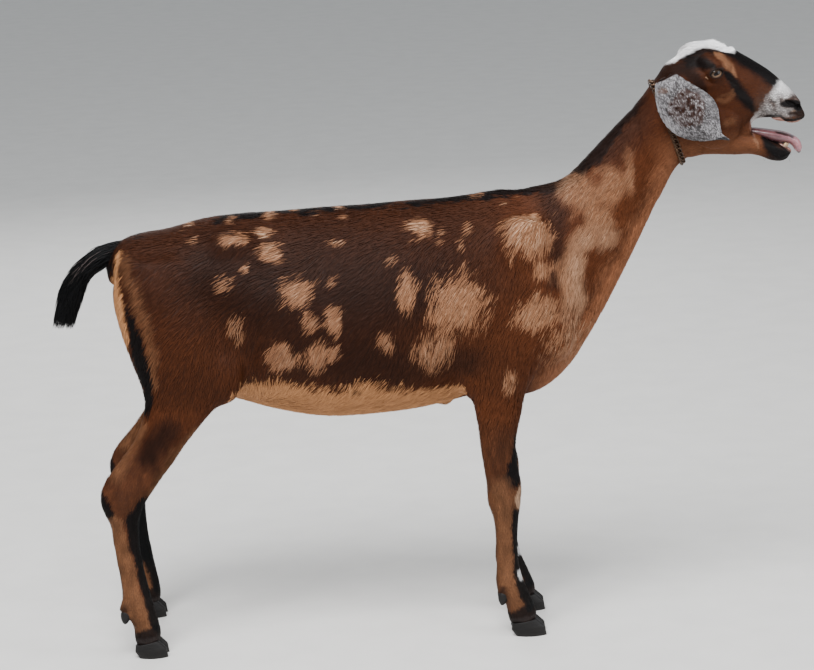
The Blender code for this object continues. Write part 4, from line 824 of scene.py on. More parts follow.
def drawn_in(skin, sizes):
    """Moves the skin in by the coat's depth and works the swells and creases into it."""
    mesh = skin.data
    points, normals = read_points(mesh), read_normals(mesh)
    near = near_side(points)
    ear = ear_share(points, 0)
    move = -coat_depth(points, ear, sizes)
    for row in np.array(SWELLS) / 1000:
        move += row[6] * np.exp(-(((near - row[:3]) / row[3:6]) ** 2).sum(axis=1))
    for half_width, depth, *line in CREASES:
        gap = line_gap(near, np.array(line) / 1000) * 1000
        move -= depth / 1000 * np.exp(-((gap / half_width) ** 2)) * (1 - ear)
    mesh.vertices.foreach_set("co", (points + normals * move[:, None]).astype(np.float32).ravel())
    mesh.update()


def joined_at_neck(body, head):
    """Trims body and head at the neck's join and closes the strip between the two rims."""
    work = bmesh.new()
    for obj, side in ((body, -1), (head, 1)):
        half = bmesh.new()
        half.from_mesh(obj.data)
        everything = half.verts[:] + half.edges[:] + half.faces[:]
        middle = NECK_JOIN[0] + NECK_JOIN[1] * side * 0.0015
        bmesh.ops.bisect_plane(half, geom=everything, plane_co=middle, plane_no=NECK_JOIN[1],
                               clear_outer=side < 0, clear_inner=side > 0)
        half.to_mesh(obj.data)
        half.free()
        work.from_mesh(obj.data)
    bmesh.ops.bridge_loops(work, edges=[edge for edge in work.edges if edge.is_boundary])
    bmesh.ops.triangulate(work, faces=[face for face in work.faces if len(face.verts) > 4])
    bmesh.ops.recalc_face_normals(work, faces=work.faces)
    work.to_mesh(body.data)
    work.free()
    remove([head])
    return body


def skin_surface(sizes, head_sizes):
    """All the flesh as one closed surface: the lofts of the body and head fused, joined at the neck,
    drawn in by the coat's depth and opened at the eyes and nostrils."""
    dock = loft_rings(TAIL[:6], 20, 4)
    middle = dock.mean(axis=1, keepdims=True)
    dock = middle + (dock - middle) * np.linspace(0.8, 0.3, len(dock))[:, None, None]
    body = [closed_grid("part", rings) for rings in (loft_rings(TORSO, 48, 4), loft_rings(NECK, 40, 4), dock)]
    for pair, side in LEGS:
        body.append(closed_grid("leg", loft_rings(leg_sections(pair, side), 32, 4)))
        heel_x, _, stance, high = foot_place(pair, side)
        body.append(ellipsoid((heel_x + 0.0205, stance, 0.028), (0.021, 0.0245, 0.013), 10))
        for outer in (1, -1):
            place = (heel_x - 0.007, stance + 0.0095 * outer, high + 0.011)
            body.append(ellipsoid(place, (0.0125, 0.01, 0.0165), -22))
    lofts = (NECK[-6:], 40), (CRANIUM, 48), (JAW, 36)
    head = [closed_grid("part", loft_rings(rows, around, 4)) for rows, around in lofts]
    for side in SIDES:
        head.append(ellipsoid(eye_frame(side)[0], head_sizes.eye_radius + head_sizes.lid_thickness, 0, 32))
        head.append(closed_grid("ear", ear_rings(side, 4, 20), folded=True))
        shift_x, shift_z = EAR_SHIFTS[side]
        head.append(ellipsoid((0.377 + shift_x, 0.041 * side, 0.8585 + shift_z), (0.0105, 0.018, 0.0085)))
    body = fused("skin", body + both_sides(BODY_MASSES), BODY_VOXEL, 5, 26)
    head = fused("head", head + both_sides(HEAD_MASSES), HEAD_VOXEL, 4)
    skin = joined_at_neck(body, head)
    drawn_in(skin, sizes)
    openings = []
    for side in SIDES:
        centre, gaze, slit, rise = eye_frame(side)
        along, up = almond(head_sizes, turns(40))
        rim = along[:, None] * slit + up[:, None] * rise
        openings.append(closed_grid("almond", np.stack([centre + gaze * depth + rim for depth in (0.004, 0.022)])))
        openings.append(ellipsoid(centre, head_sizes.eye_radius + 0.0003, 0, 40))
        openings += [ellipsoid((x, y * side, z), radii, pitch, 28) for (x, y, z), radii, pitch in NOSTRIL_HOLLOWS]
    return thinned(cut(skin, openings), SKIN_TRIANGLES)


# Markings


def layer(colours, palette):
    """A function that lays a named colour over the colours, as fully as cover says."""

    def lay(name, cover):
        colours[:] += (palette[name] - colours) * cover[:, None]

    return lay


def edged(gap, lot, softness):
    """How fully a marking covers a point: 1 well within gap 1, 0 well beyond. Each tuft's own lot
    moves the edge, so that hairs of both colours mingle there; skin has the lot -1 and a soft edge.
    From a softness of 0.5 on, the hairs fade into each other too."""
    skin = lot < 0
    faded = softness >= 0.5
    width = np.where(skin, 2.0, 1.5 if faded else 0.4) * softness
    fray = softness * (0.3 if faded else 1.0)
    return np.clip((1 + fray * np.where(skin, 0, 1 - 2 * lot) - gap) / width + 0.5, 0, 1)


def covered(x, z, ragged, lot, line, softness):
    """How fully a stroke covers each point: its gap is the distance over the stroke's half width."""
    gap = np.full(len(x), np.inf)
    line = np.array(line) / 1000
    for (ax, az, aw), (bx, bz, bw) in zip(line, line[1:]):
        dx, dz = bx - ax, bz - az
        part = ramp((x - ax) * dx + (z - az) * dz, dx * dx + dz * dz)
        gap = np.minimum(gap, np.hypot(x - ax - dx * part, z - az - dz * part) / (aw + (bw - aw) * part))
    return edged(gap * ragged, lot, softness)


def stroked(lay, table, place, firm, faded=0, brown_share=1):
    """Lays a table's strokes over the colours at a place of x, z, raggedness and lot. Their softness
    is firm, or faded, where it is given, for weak brown, rust and tan ones."""
    for name, strength, *line in table:
        weak = faded and strength < 0.91 and name in ("dark_brown", "rust", "tan")
        cover = covered(*place, line, faded if weak else firm) * strength
        lay(name, cover * (brown_share if name == "dark_brown" else 1))


def palette_of(context):
    """Every colour of the settings by its name."""
    chosen = context.scene.goat_colours
    return {name: np.array(getattr(chosen, name)[:]) for name in CoatColours.__annotations__}


def coat_colour(points, ear, lot, palette):
    """The colour of hair or skin at each point, from strokes and spots laid over a chestnut ground
    that carries painted shade on the upper barrel and rump.
    """
    near = near_side(points)
    far = ramp(points[:, 1], 0.05)
    stray = np.interp(near[:, 2], [0.25, 0.42], [0.4, 1.0])
    x = near[:, 0] + (wave(points, 0.03, 1, 0.012) + wave(points, 0.009, 3, 0.006)) * stray
    z = near[:, 2] + (wave(points, 0.03, 2, 0.012) + wave(points, 0.009, 4, 0.008)) * stray
    place = x, z, 0.85 + 0.3 * noise(points, 0.006, 5), lot
    tone = 0.78 + 0.4 * noise(points, 0.06, 6) + 0.06 * noise(points, 0.014, 9)
    # Painted shade: the upper barrel and rump are made up to 0.35 darker, to hold down the top light there.
    tone *= 1 - 0.35 * ramp(z - 0.5, 0.06) * ramp(0.2 - x, 0.1)
    tone *= 1 + 0.45 * np.maximum(ramp(x - 0.03, 0.12), ramp(0.42 - z, 0.05))
    colours = palette["chestnut"] * tone[:, None]
    lay = layer(colours, palette)
    beyond = beyond_neck(points)
    stroked(lay, BODY_STROKES, place, 0.2, 0.8, ~((z < 0.4) & (beyond < 0)))
    patchy = 0.84 - 0.10 * ramp(x - 0.10, 0.03) + 0.55 * noise(points, 0.014, 15)
    patchy += 2.8 * noise(points, 0.014, 17) * ramp(0.050 - near[:, 1], 0.02) * (z > 0.62) * (x < 0.2)
    upper = ramp(z - 0.6, 0.06)
    neck = ramp(x - 0.2, 0.03)
    streak = ramp(lot * 2 - 1) * (0.25 + 0.55 * upper * (1 - neck)) + 0.25 * neck * (1 - upper)
    moved_x = x + wave(points, 0.12, 7, 0.09) * far
    moved_z = z + wave(points, 0.12, 8, 0.05) * far
    for spot_x, spot_z, half_x, half_z, strength in SPOTS:
        gap = np.hypot((moved_x - spot_x) / half_x, (moved_z - spot_z) / half_z)
        on_neck = spot_x > 0.2 and spot_z > 0.5
        cover = edged(gap * patchy, lot, 0.55 if on_neck else 0.36)
        cover *= 0.9 if on_neck else (lot * 5.3) % 1 < 0.25 + 0.75 * strength
        lay("spot", cover * (0.5 + 0.5 * strength))
        lay("pale", cover * streak)
    shank = ramp(0.36 - z, 0.05) * (beyond < 0)
    colours += shank[:, None] * (0.0, 0.0035, 0.003)
    stroked(lay, LEG_STROKES, place, 0.25, 0.8)
    colours *= (1 + shank * wave(points * (1, 1, 0.4), 0.007, 18, 1) * 0.7)[:, None]
    medial = ramp(0.112 - near[:, 1], 0.006) * (x < -0.4) * ramp(z - 0.085, 0.015)
    lay("black", medial * ramp(0.25 - z, 0.02) * ramp(x + 0.496, 0.006))
    inner = ramp(0.06 - near[:, 1], 0.02) * ramp(-0.29 - x, 0.02)
    inner *= ramp(0.6 - z, 0.02) * (z > 0.345) * (near[:, 0] > -0.487)
    lay("cream", inner * 0.8)
    lay("pink", ramp(0.019 - span(near - TEAT), 0.004) * 0.7)
    for share, blend in ((ramp(beyond, 0.04), face_colour), (ear, ear_colour)):
        on = np.flatnonzero(share > 0)
        if len(on):
            colours[on] += (blend(points[on], near[on], lot[on], palette) - colours[on]) * share[on, None]
    return colours


def face_colour(points, near, lot, palette):
    """The head's colours: finer strokes, a ticked muzzle, and bare skin round mouth, nose and eyes."""
    real_x, depth, real_z = near.T
    x, z = real_x + wave(points, 0.01, 11, 0.004), real_z + wave(points, 0.01, 12, 0.004)
    place = x, z, 0.85 + 0.3 * noise(points, 0.003, 13), lot
    colours = palette["chestnut"] * (0.85 + 0.5 * noise(points, 0.02, 14))[:, None]
    lay = layer(colours, palette)
    lay("rust", ramp(0.785 - z, 0.03) * ramp(0.53 - x, 0.02) * 0.5)
    stroked(lay, HEAD_STROKES, place, 0.5)
    lay("white", ramp(0.022 - depth, 0.006) * (z > 0.892) * (x > 0.425) * (x < 0.477))
    tick = ramp(x - 0.505, 0.015) * ramp(0.85 - z, 0.02) * (z > 0.79)
    cloud = noise(points, 0.009, 15)
    flecks = 0.36 + 0.3 * cloud + 0.16 * ramp(0.838 - z, 0.012)
    lay("tan", tick * (0.2 + 0.5 * cloud * ramp(0.834 - z, 0.01)))
    lay("grey", tick * np.where(lot < 0, flecks, (lot * 7.3) % 1 < flecks) * 0.85)
    stroked(lay, NOSE_STROKES, place, 0.6)
    upper, lower = lip_heights(real_x)
    mouth = (real_x > 0.5035) & (real_z < upper + 0.0006) & (real_z > lower - 0.0008)
    corner = np.interp(real_x[mouth], [0.506, 0.525], [0.3, 1.0])
    colours[mouth] = palette["pink"] * ((0.7 + 0.6 * noise(points[mouth], 0.004, 16)) * corner)[:, None]
    lay("black", ((real_x > 0.512) & (np.abs(real_z - lower) < 0.0026) & (real_x < 0.566)) * 0.85)
    lay("bare_dark", ((real_x > 0.525) & (np.abs(real_z - upper - 0.0022) < 0.0026)) * 0.85)
    for centre, radii, _ in NOSTRIL_HOLLOWS:
        lay("bare_dark", ramp(1.25 - span((near - centre) / (np.array(radii) * 1.25)), 0.25))
    for side in SIDES:
        along, up, out = from_eye(points, side)
        ring = edged(np.hypot(along / 0.013, (up - 0.001) / 0.0086), lot, 0.16)
        lay("dark_brown", ring * (out > 0) * (out < 0.03) * 0.9)
    return colours


def ear_colour(points, _, lot, palette):
    """Pale hair flecked with dark, thickest about a brown middle, and a dark curled tip."""
    x, z = (points[:, k] - np.where(points[:, 1] > 0, EAR_SHIFTS[LEFT][k // 2], 0) for k in (0, 2))
    ragged = 0.8 + 0.4 * noise(points, 0.004, 23)
    middle = np.hypot((x - 0.401) / 0.026, (z - 0.824) / 0.03)
    clear = ramp(0.405 - x, 0.03) * ramp(0.815 - z, 0.02)
    flecks = np.interp(middle, [0.4, 0.8, 1.3, 2.2], [0.9, 0.88, 0.68, 0.52]) * (1 - 0.5 * clear)
    flecks = flecks * (0.65 + 0.7 * noise(points, 0.003, 24))
    flecks = np.where(lot < 0, flecks, lot < flecks)[:, None]
    colours = palette["white"] * (0.3 + 0.25 * noise(points, 0.02, 25))[:, None] * (1.0, 0.98, 1.02)
    dark = np.where((middle * ragged < 1.0)[:, None], palette["dark_brown"] * 2, palette["grey"] * 0.6)
    colours += (dark - colours) * flecks
    stroked(layer(colours, palette), EAR_STROKES, (x, z, ragged, lot), 0.35)
    return colours


# Materials


def node(tree, kind, **inputs):
    made = tree.nodes.new(kind)
    for name, value in inputs.items():
        socket = made.inputs[name.replace("_", " ")]
        if isinstance(value, bpy.types.NodeSocket):
            tree.links.new(value, socket)
        else:
            socket.default_value = value
    return made


def new_material(name, **finish):
    """A material with a Principled shader, its constant finish set on the shader's own sockets."""
    material = bpy.data.materials.new(name)
    material.use_nodes = True
    shader = material.node_tree.nodes["Principled BSDF"]
    for socket, value in finish.items():
        shader.inputs[socket.replace("_", " ")].default_value = value
    return material, material.node_tree, shader


def grain(tree, scale, detail=3.0, stretch=(1, 1, 1)):
    """Fine noise on Object coordinates, drawn out by stretch."""
    place = tree.nodes.new("ShaderNodeTexCoord").outputs["Object"]
    mapped = node(tree, "ShaderNodeMapping", Vector=place, Scale=stretch)
    return node(tree, "ShaderNodeTexNoise", Vector=mapped.outputs[0], Scale=scale, Detail=detail).outputs[0]


def bumped(tree, shader, height, strength, distance):
    bump = node(tree, "ShaderNodeBump", Height=height, Strength=strength, Distance=distance)
    tree.links.new(bump.outputs[0], shader.inputs["Normal"])


def tinted(tree, base, height, low, high):
    """A colour made darker and lighter by a height between two shares."""
    span = node(tree, "ShaderNodeMapRange", Value=height, From_Min=0.3, From_Max=0.7, To_Min=low, To_Max=high)
    mix = tree.nodes.new("ShaderNodeVectorMath")
    mix.operation = "SCALE"
    tree.links.new(base, mix.inputs[0])
    tree.links.new(span.outputs[0], mix.inputs["Scale"])
    return mix.outputs[0]


def painted_material(name, scale, low, high, bump, **finish):
    """A finish whose colour is the mesh's own coat attribute, varied by fine grain."""
    material, tree, shader = new_material(name, **finish)
    paint = tree.nodes.new("ShaderNodeAttribute")
    paint.attribute_name = "coat"
    height = grain(tree, scale)
    tree.links.new(tinted(tree, paint.outputs["Color"], height, low, high), shader.inputs["Base Color"])
    bumped(tree, shader, height, bump, 0.0006)
    return material


def paint(obj, colours):
    """Stores a colour at each vertex as the attribute coat."""
    rgba = np.ones((len(colours), 4), np.float32)
    rgba[:, :3] = ramp(colours)
    layer = obj.data.attributes.new("coat", "FLOAT_COLOR", "POINT")
    layer.data.foreach_set("color", rgba.ravel())


def finish_piece(obj, slot, material, *nodes, smooth=True):
    """Shades a piece, gives it its material, and ties it to the frame."""
    obj.data.materials.clear()
    obj.data.materials.append(material)
    obj.data.polygons.foreach_set("use_smooth", np.full(len(obj.data.polygons), smooth))
    obj.data.update()
    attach(obj, "root")
    if nodes:
        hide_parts(*nodes)
    return obj


# The coat


def hair_lie(points, normals, ear):
    """The way the hair lies: the guides' directions weighted by inverse distance to the third power,
    turned into the surface, with a gentle wander."""
    near = near_side(points)
    heading = np.zeros((len(points), 3))
    for rows, chosen in ((LIE, ear < 0.5), (EAR_LIE, ear >= 0.5)):
        table = np.array(rows)
        picked = np.flatnonzero(chosen)
        for part in np.array_split(picked, max(1, len(picked) // 20000)):
            weight = 1 / (span(near[part, None, :] - table[None, :, :3] / 100) + 0.004) ** 3
            heading[part] = (weight[:, :, None] * unit(table[:, 3:])).sum(axis=1) / weight.sum(axis=1)[:, None]
    heading[:, 1] *= np.where(points[:, 1] > 0, 1, -1)
    heading = unit(heading - normals * (heading * normals).sum(axis=1, keepdims=True))
    calm = np.where(beyond_neck(points) > 0, 0.35, 1.0)
    wander = (wave(points, 0.04, 31, 0.7) + wave(points, 0.012, 32, 0.2)) * calm
    return unit(heading + np.cross(normals, heading) * wander[:, None])


def hair_length(points, ear, sizes):
    """Tuft length: longest on the barrel, shorter down the legs and over the face."""
    near = near_side(points)
    x, _, z = near.T
    body = sizes.body_length * np.interp(z, [0.3, 0.4, 0.46], [0.72, 1.0, 1.0])
    body = np.where(z < 0.36, sizes.leg_length * np.interp(z, [0.02, 0.1, 0.25, 0.36], [0.62, 0.85, 1.0, 1.6]), body)
    ahead = beyond_neck(points)
    body *= np.interp(ahead, [-0.12, 0.0], [1.0, 0.75])
    face = sizes.face_length * np.interp(x, [0.36, 0.42, 0.5, 0.55], [1.7, 1.25, 0.9, 0.6])
    face *= np.interp(z, [0.735, 0.76], [1.5, 1.0])
    length = np.where(ahead > 0, face, body)
    for side in SIDES:
        gap = span(points - eye_frame(side)[0])
        length = np.where(ahead > 0, length * np.clip(gap / 0.024, 0.5, 1), length)
    return length * (1 - ear) + 0.0043 * ear


def region_of(points, ear):
    """The number of the coat piece that each point belongs to, counted in HAIR_PIECES."""
    x, y, z = points.T
    left = (y > 0).astype(int)
    region = np.select([x > 0.03, x > -0.2], [0, 1], 2)
    region = np.where((x - 0.215) * 0.8 + (z - 0.6) * 0.6 > 0, 3, region)
    region = np.where((z < 0.38) & (x > 0.03) & (x < 0.24), 6 + left, region)
    region = np.where((z < 0.4) & (x < -0.28), 8 + left, region)
    region = np.where(beyond_neck(points) > 0, 4 + left, region)
    return np.where(ear > 0.5, 10 + left, region)


def unwrapped(points, region):
    """Each point's place on an unwrap: its turn about the region's axis, and its share of the length."""
    _, _, origin, axis, length = HAIR_PIECES[region]
    axis = unit(np.array(axis, float))
    side = unit(np.cross(axis, (0, 1, 0)))
    out = points - origin
    turn = np.arctan2(out @ np.cross(axis, side), out @ side) / (2 * math.pi) + 0.5
    return np.clip(packed(turn, out @ axis / length), 0.003, 0.997)


def hair(name, points, faces, colours, painted_shading, patch, offset, normals=None):
    """A piece of hairs from each one's points and the faces of one. The colour of a hair is scaled along
    it by the given shares, painted shade at the root and painted light at the tip; its normals may be
    given, and it lies round one place of the unwrap."""
    count, each, _ = points.shape
    every = (np.arange(count)[:, None, None] * each + faces).reshape(-1, 3)
    made = new_object(name, points.reshape(-1, 3), every)
    if normals is not None:
        made.data.polygons.foreach_set("use_smooth", np.ones(len(every), bool))
        made.data.normals_split_custom_set_from_vertices(unit(normals).reshape(-1, 3))
    paint(made, (colours[:, None, :] * np.array(painted_shading)[:, None]).reshape(-1, 3))
    places = (patch[:, None, :] + offset).reshape(-1, 2)[every.ravel()]
    made.data.uv_layers.new(name="OFBake").data.foreach_set("uv", places.astype(np.float32).ravel())
    return made


def tufts(name, line, normals, widths, colours, patch):
    """Closed tufts of five points: a sunk root, a flat ring of three at the middle, and a tip. They
    are shaded with the skin's own normals, a little rounded across, so that the coat reads as one."""
    roots, middles, tips = line
    across = unit(np.cross(normals[1], tips - roots))
    wide = across * widths[:, None] / 2
    thick = normals[1] * widths[:, None] * 0.25
    points = np.stack([roots, middles - wide, middles + wide, middles + thick, tips], axis=1)
    faces = np.array([(0, 2, 1), (0, 3, 2), (0, 1, 3), (4, 1, 2), (4, 2, 3), (4, 3, 1)])
    rounded = [normals[0], normals[1] - across * 0.4, normals[1] + across * 0.4, normals[1], normals[2]]
    offset = np.array([(0, -0.0015), (-0.0012, 0), (0.0012, 0), (0, 0.0006), (0, 0.0015)])
    # Painted shade and light: the root's colour is made 0.75 as bright and the tip's 1.08 as bright.
    return hair(name, points, faces, colours, (0.75, 1, 1, 1, 1.08), patch, offset, np.stack(rounded, axis=1))


def coat(skin, sizes, palette):
    """Short hair in flat tufts over the whole skin. Roots are drawn evenly by area on each region's
    triangles, the middle and tip of each tuft follow the skin at the coat's height."""
    chance = np.random.default_rng(sizes.seed)
    corners = read_points(skin.data)[read_triangles(skin.data)]
    corner_normals = read_normals(skin.data)[read_triangles(skin.data)]
    centres = corners.mean(axis=1)
    areas = span(np.cross(corners[:, 1] - corners[:, 0], corners[:, 2] - corners[:, 0])) / 2
    centre_ear = ear_share(centres)
    regions = region_of(centres, centre_ear)
    dock = (centres[:, 0] < -0.497) & (centres[:, 2] > 0.5)
    areas = areas * ~(bare_share(centres) | dock)
    material = painted_material("short_hair", 900, 0.88, 1.12, 0.15, Roughness=0.55, Specular_IOR_Level=0.08)
    for region, (name, count, *_) in enumerate(HAIR_PIECES):
        count = int(count * sizes.fullness)
        chosen = np.flatnonzero(regions == region)
        reach = np.cumsum(areas[chosen])
        stops = (np.arange(count) + chance.random(count)) / count * reach[-1] * 0.99999
        picked = chosen[np.searchsorted(reach, stops)]
        a, b = chance.random((2, count, 1))
        a, b = np.where(a + b > 1, 1 - a, a), np.where(a + b > 1, 1 - b, b)
        weights = np.stack([1 - a - b, a, b], axis=1)
        roots = (corners[picked] * weights).sum(axis=1)
        normals = unit((corner_normals[picked] * weights).sum(axis=1))
        ear = centre_ear[picked]
        lie = hair_lie(roots, normals, ear)
        lie = unit(lie + np.cross(normals, lie) * chance.normal(0, 0.1, (count, 1)))
        length = hair_length(roots, ear, sizes) * chance.uniform(0.75, 1.2, count)
        lift = coat_depth(roots, ear, sizes) * chance.uniform(0.3, 1.05, count) + 0.0001
        line, shading = [roots - normals * ROOT_DEPTH], [normals]
        for share, height in ((0.42, 0.55), (1.0, 1.0)):
            flat = roots + lie * (length * share)[:, None]
            ground, above = nearest_on(flat, skin), nearest_on(flat, skin, 0.001)
            shading.append(unit(above - ground))
            line.append(ground + shading[-1] * (lift * height)[:, None])
        colours = coat_colour(roots * 0.45 + line[-1] * 0.55, ear, chance.random(count), palette)
        colours *= chance.lognormal(0, 0.11, (count, 1))
        widths = (length * 0.045 + 0.00042 - 0.00014 * ear) * chance.uniform(0.8, 1.2, count)
        made = tufts(name, line, shading, widths, colours, unwrapped(roots, region))
        finish_piece(made, "ear" if "ear" in name else "coat", material)


def strands(name, paths, radii, colours, patch, normals=None):
    """Tapering three-sided tubes along many paths at once, closed to a point at both ends."""
    count, steps, _ = paths.shape
    along = unit(np.gradient(paths, axis=1))
    side = unit(np.cross(along, (0.13, 0.97, 0.21)))
    up = np.cross(along, side)
    swell = np.sin(np.linspace(0, math.pi, steps)) ** 0.5
    swell[-1] = swell[0] = 0.12
    spokes = [side * math.cos(turn) + up * math.sin(turn) for turn in (0, 2 * math.pi / 3, 4 * math.pi / 3)]
    reach = (radii[:, None] * swell)[:, :, None]
    points = np.stack([paths + spoke * reach for spoke in spokes], axis=2).reshape(count, -1, 3)
    walls = grid_faces(steps, 3)
    last = (steps - 1) * 3
    faces = np.vstack([walls[:, [0, 1, 2]], walls[:, [0, 2, 3]], [(2, 1, 0), (last, last + 1, last + 2)]])
    if normals is not None:
        normals = (np.stack(spokes, axis=2) * 0.4 + normals[:, None, None, :]).reshape(count, -1, 3)
    # Painted shade and light: each strand's colour runs from 0.75 at its root to 1.15 at its end.
    painted_shading = np.repeat(np.linspace(0.75, 1.15, steps), 3)
    offset = packed(np.tile([-0.0012, 0.0, 0.0012], steps), np.repeat(np.linspace(-0.0015, 0.0015, steps), 3))
    return hair(name, points, faces, colours, painted_shading, patch, offset, normals)


def curved(roots, ways, lengths, bend):
    """Paths of five points from the roots along their ways, bent up by the square of the distance."""
    t, reach = np.linspace(0, 1, 5)[None, :, None], lengths[:, None, None]
    return roots[:, None, :] + ways[:, None, :] * reach * t + np.array([0, 0, bend]) * reach * t**2


def tail_places(along, turn, share):
    """Points in the tail from how far along it they are, their turn around it, and the share of the
    way from its middle line to its outline."""
    rows = smooth_rows(TAIL, 8)
    place = ramp(along) * (len(rows) - 1)
    row = np.stack([np.interp(place, np.arange(len(rows)), column) for column in rows.T])
    up = 0.5 + 0.5 * share * np.sin(turn)
    beyond = np.maximum(along - 1, 0)[..., None] * np.array([-0.03, 0, -0.16])
    x, z = row[0] + (row[2] - row[0]) * up, row[1] + (row[3] - row[1]) * up
    return packed(x, row[4] * share * np.cos(turn), z) + beyond


def tail_hair(sizes, palette):
    """Long hair that grows from the dock, follows the tail's bend and ends square."""
    chance = np.random.default_rng(sizes.seed + 1)
    count = int(TAIL_HAIRS * sizes.fullness)
    turn = chance.uniform(0, 2 * math.pi, count)
    start = 0.75 * chance.random(count) ** 0.7
    end = np.minimum(start + chance.uniform(0.25, 0.45, count), 1.03 - 0.16 * chance.random(count) ** 1.5)
    t = np.linspace(0, 1, 6)
    along = start[:, None] + (end - start)[:, None] * t
    outer = chance.uniform(0.45, 1.05, count)[:, None]
    sunk = np.interp(start, [0.05, 0.4], [0.85, 0.35])[:, None]
    share = sunk + np.maximum(outer - sunk, 0) * t**0.5
    paths = tail_places(along, turn[:, None] + chance.normal(0, 0.4, (count, 1)) * t**2, share)
    colours = palette["black"] * (0.8 + 1.2 * chance.random((count, 1)))
    upper = np.sin(turn)
    fleck = (chance.random(count) < 0.22) & (start < 0.3) & (start > 0.06) & (upper > 0.1) & (upper < 0.8)
    colours[fleck] = palette["grey"] * 3
    patch = packed(turn / (2 * math.pi), start) * 0.99 + 0.004
    return strands("tail_hair", paths, chance.uniform(0.00045, 0.0009, count), colours, patch)


def poll_hair(skin, sizes, palette):
    """The tuft of longer white hair on the poll and brow."""
    chance = np.random.default_rng(sizes.seed + 2)
    count = int(POLL_HAIRS * sizes.fullness)
    x = 0.476 - 0.045 * chance.random(count) ** 1.2
    y = chance.normal(0, 0.014, count).clip(-0.03, 0.03)
    roots = nearest_on(packed(x, y, 0.935), skin)
    front = ramp(x - 0.445, 0.02)
    high = 0.06 + 0.16 * front + 0.5 * np.exp(-(((x - 0.452) / 0.006) ** 2))
    lie = packed(np.interp(x, [0.44, 0.455, 0.465], [-1.0, 0.2, 1.0]), y * 6, high)
    lie = unit(lie + chance.normal(0, 0.14, (count, 3)))
    length = sizes.poll_length * chance.uniform(0.5, 1.1, count) * (0.6 + 0.4 * front)
    paths = curved(roots - (0, 0, 0.001), lie, length, -0.22)
    colours = palette["white"] * chance.uniform(0.9, 1.1, (count, 1))
    above = unit(nearest_on(roots, skin, 0.001) - roots)
    radii = chance.uniform(0.0002, 0.00032, count)
    return strands("poll_hair", paths, radii, colours, unwrapped(roots, FACE_PIECE), above)


def whiskers(sizes, palette):
    """Lashes along both upper lids and fine whiskers on lips and chin."""
    chance = np.random.default_rng(sizes.seed + 3)
    roots, ways, lengths = [], [], []
    for side in SIDES:
        centre, gaze, slit, rise = eye_frame(side)
        turn = chance.uniform(0.35, math.pi - 0.25, LASHES)
        outline = np.cos(turn)[:, None] * slit * 0.01 + np.sin(turn)[:, None] * rise * 0.006
        roots.append(centre + unit(outline + gaze * 0.012) * 0.0143)
        way = gaze * 0.9 + rise * 0.35 + slit * np.cos(turn)[:, None] * 0.5
        ways.append(unit(way + chance.normal(0, 0.12, (LASHES, 3))))
        lengths.append(chance.uniform(0.005, 0.0085, LASHES))
        x = chance.uniform(0.535, 0.585, WHISKERS)
        low = chance.random(WHISKERS) < 0.45
        z = np.where(low, chance.uniform(0.732, 0.744, WHISKERS), chance.uniform(0.796, 0.812, WHISKERS))
        x = np.where(low, x - 0.018, x)
        roots.append(packed(x, side * np.where(low, 0.018, np.interp(x, [0.535, 0.585], [0.0285, 0.019])), z))
        ways.append(unit((0.35, side * 0.8, -0.45) + chance.normal(0, 0.25, (WHISKERS, 3))))
        lengths.append(chance.uniform(0.006, 0.016, WHISKERS))
    roots = np.vstack(roots)
    paths = curved(roots, np.vstack(ways), np.concatenate(lengths), 0.12)
    colours = np.repeat(palette["black"][None] * 1.5 + 0.02, len(roots), axis=0)
    return strands("lashes_whiskers", paths, np.full(len(roots), 0.00014), colours, unwrapped(roots, FACE_PIECE))


# Eyes, mouth, hooves and chain


def eyeball(side, sizes, palette):
    """An eyeball on a polar grid about its gaze, with the cornea bulged by a share of cos cubed, and
    the level slot of the pupil, the iris and the dark rim worked out from each point's place. The iris
    carries painted shade under the upper lid and painted light on its lower part."""
    centre, gaze, slit, rise = eye_frame(side)
    polar = np.linspace(0, 1, 70)[1:, None] ** 1.25 * math.pi
    turn = turns(80)[None, :]
    reach = sizes.eye_radius * (1 + 0.045 * ramp(np.cos(polar) - 0.72, 0.28) ** 1.5)
    across, up, out = np.sin(polar) * np.cos(turn), np.sin(polar) * np.sin(turn), np.cos(polar) + 0 * turn
    rings = centre + (reach * np.stack([across, up, out])).transpose(1, 2, 0) @ np.stack([slit, rise, gaze])
    ball = closed_grid(f"eyeball_{SIDE_NAMES[side]}", rings)
    along, high, depth = (unit(read_points(ball.data) - centre) @ packed(slit, rise, gaze)).T
    level = along * math.cos(PUPIL_TILT) - high * math.sin(PUPIL_TILT)
    plumb = along * math.sin(PUPIL_TILT) + high * math.cos(PUPIL_TILT)
    far = np.hypot(along, high)
    fibre = 0.75 + 0.5 * noise(packed(np.arctan2(high, along) * 9, far * 4, 0), 1.0, 41)
    # Painted shade and light: the iris is made 0.25 as bright at the top, under the upper lid, and 1.5 as bright at
    # the bottom.
    colours = palette["iris"] * (fibre * np.interp(high, [-0.3, -0.02, 0.2], [1.5, 1.0, 0.25]))[:, None]
    lay = layer(colours, palette)
    lay("bare_dark", ramp(far - 0.52, 0.16) * 0.85)
    slot = (np.abs(level) / 0.46) ** 2.6 + (np.abs(plumb) / 0.2) ** 2.6
    lay("bare_dark", ramp(1.25 - slot, 0.35) * (depth > 0))
    paint(ball, colours)
    return ball


def ring_tube(name, path, radius, around):
    """A closed loop of tube along a closed path: each ring is radius * (cos, sin) in the plane of the
    path's outward side and its normal."""
    ahead = unit(np.roll(path, -1, axis=0) - np.roll(path, 1, axis=0))
    outside = unit(path - path.mean(axis=0))
    normal = unit(np.cross(ahead, outside))
    outside = np.cross(normal, ahead)
    turn = turns(around)[None, :, None]
    rings = path[:, None] + radius[:, None, None] * (np.cos(turn) * outside[:, None] + np.sin(turn) * normal[:, None])
    return outward(new_object(name, rings.reshape(-1, 3), grid_faces(len(path), around, closed_rows=True)))


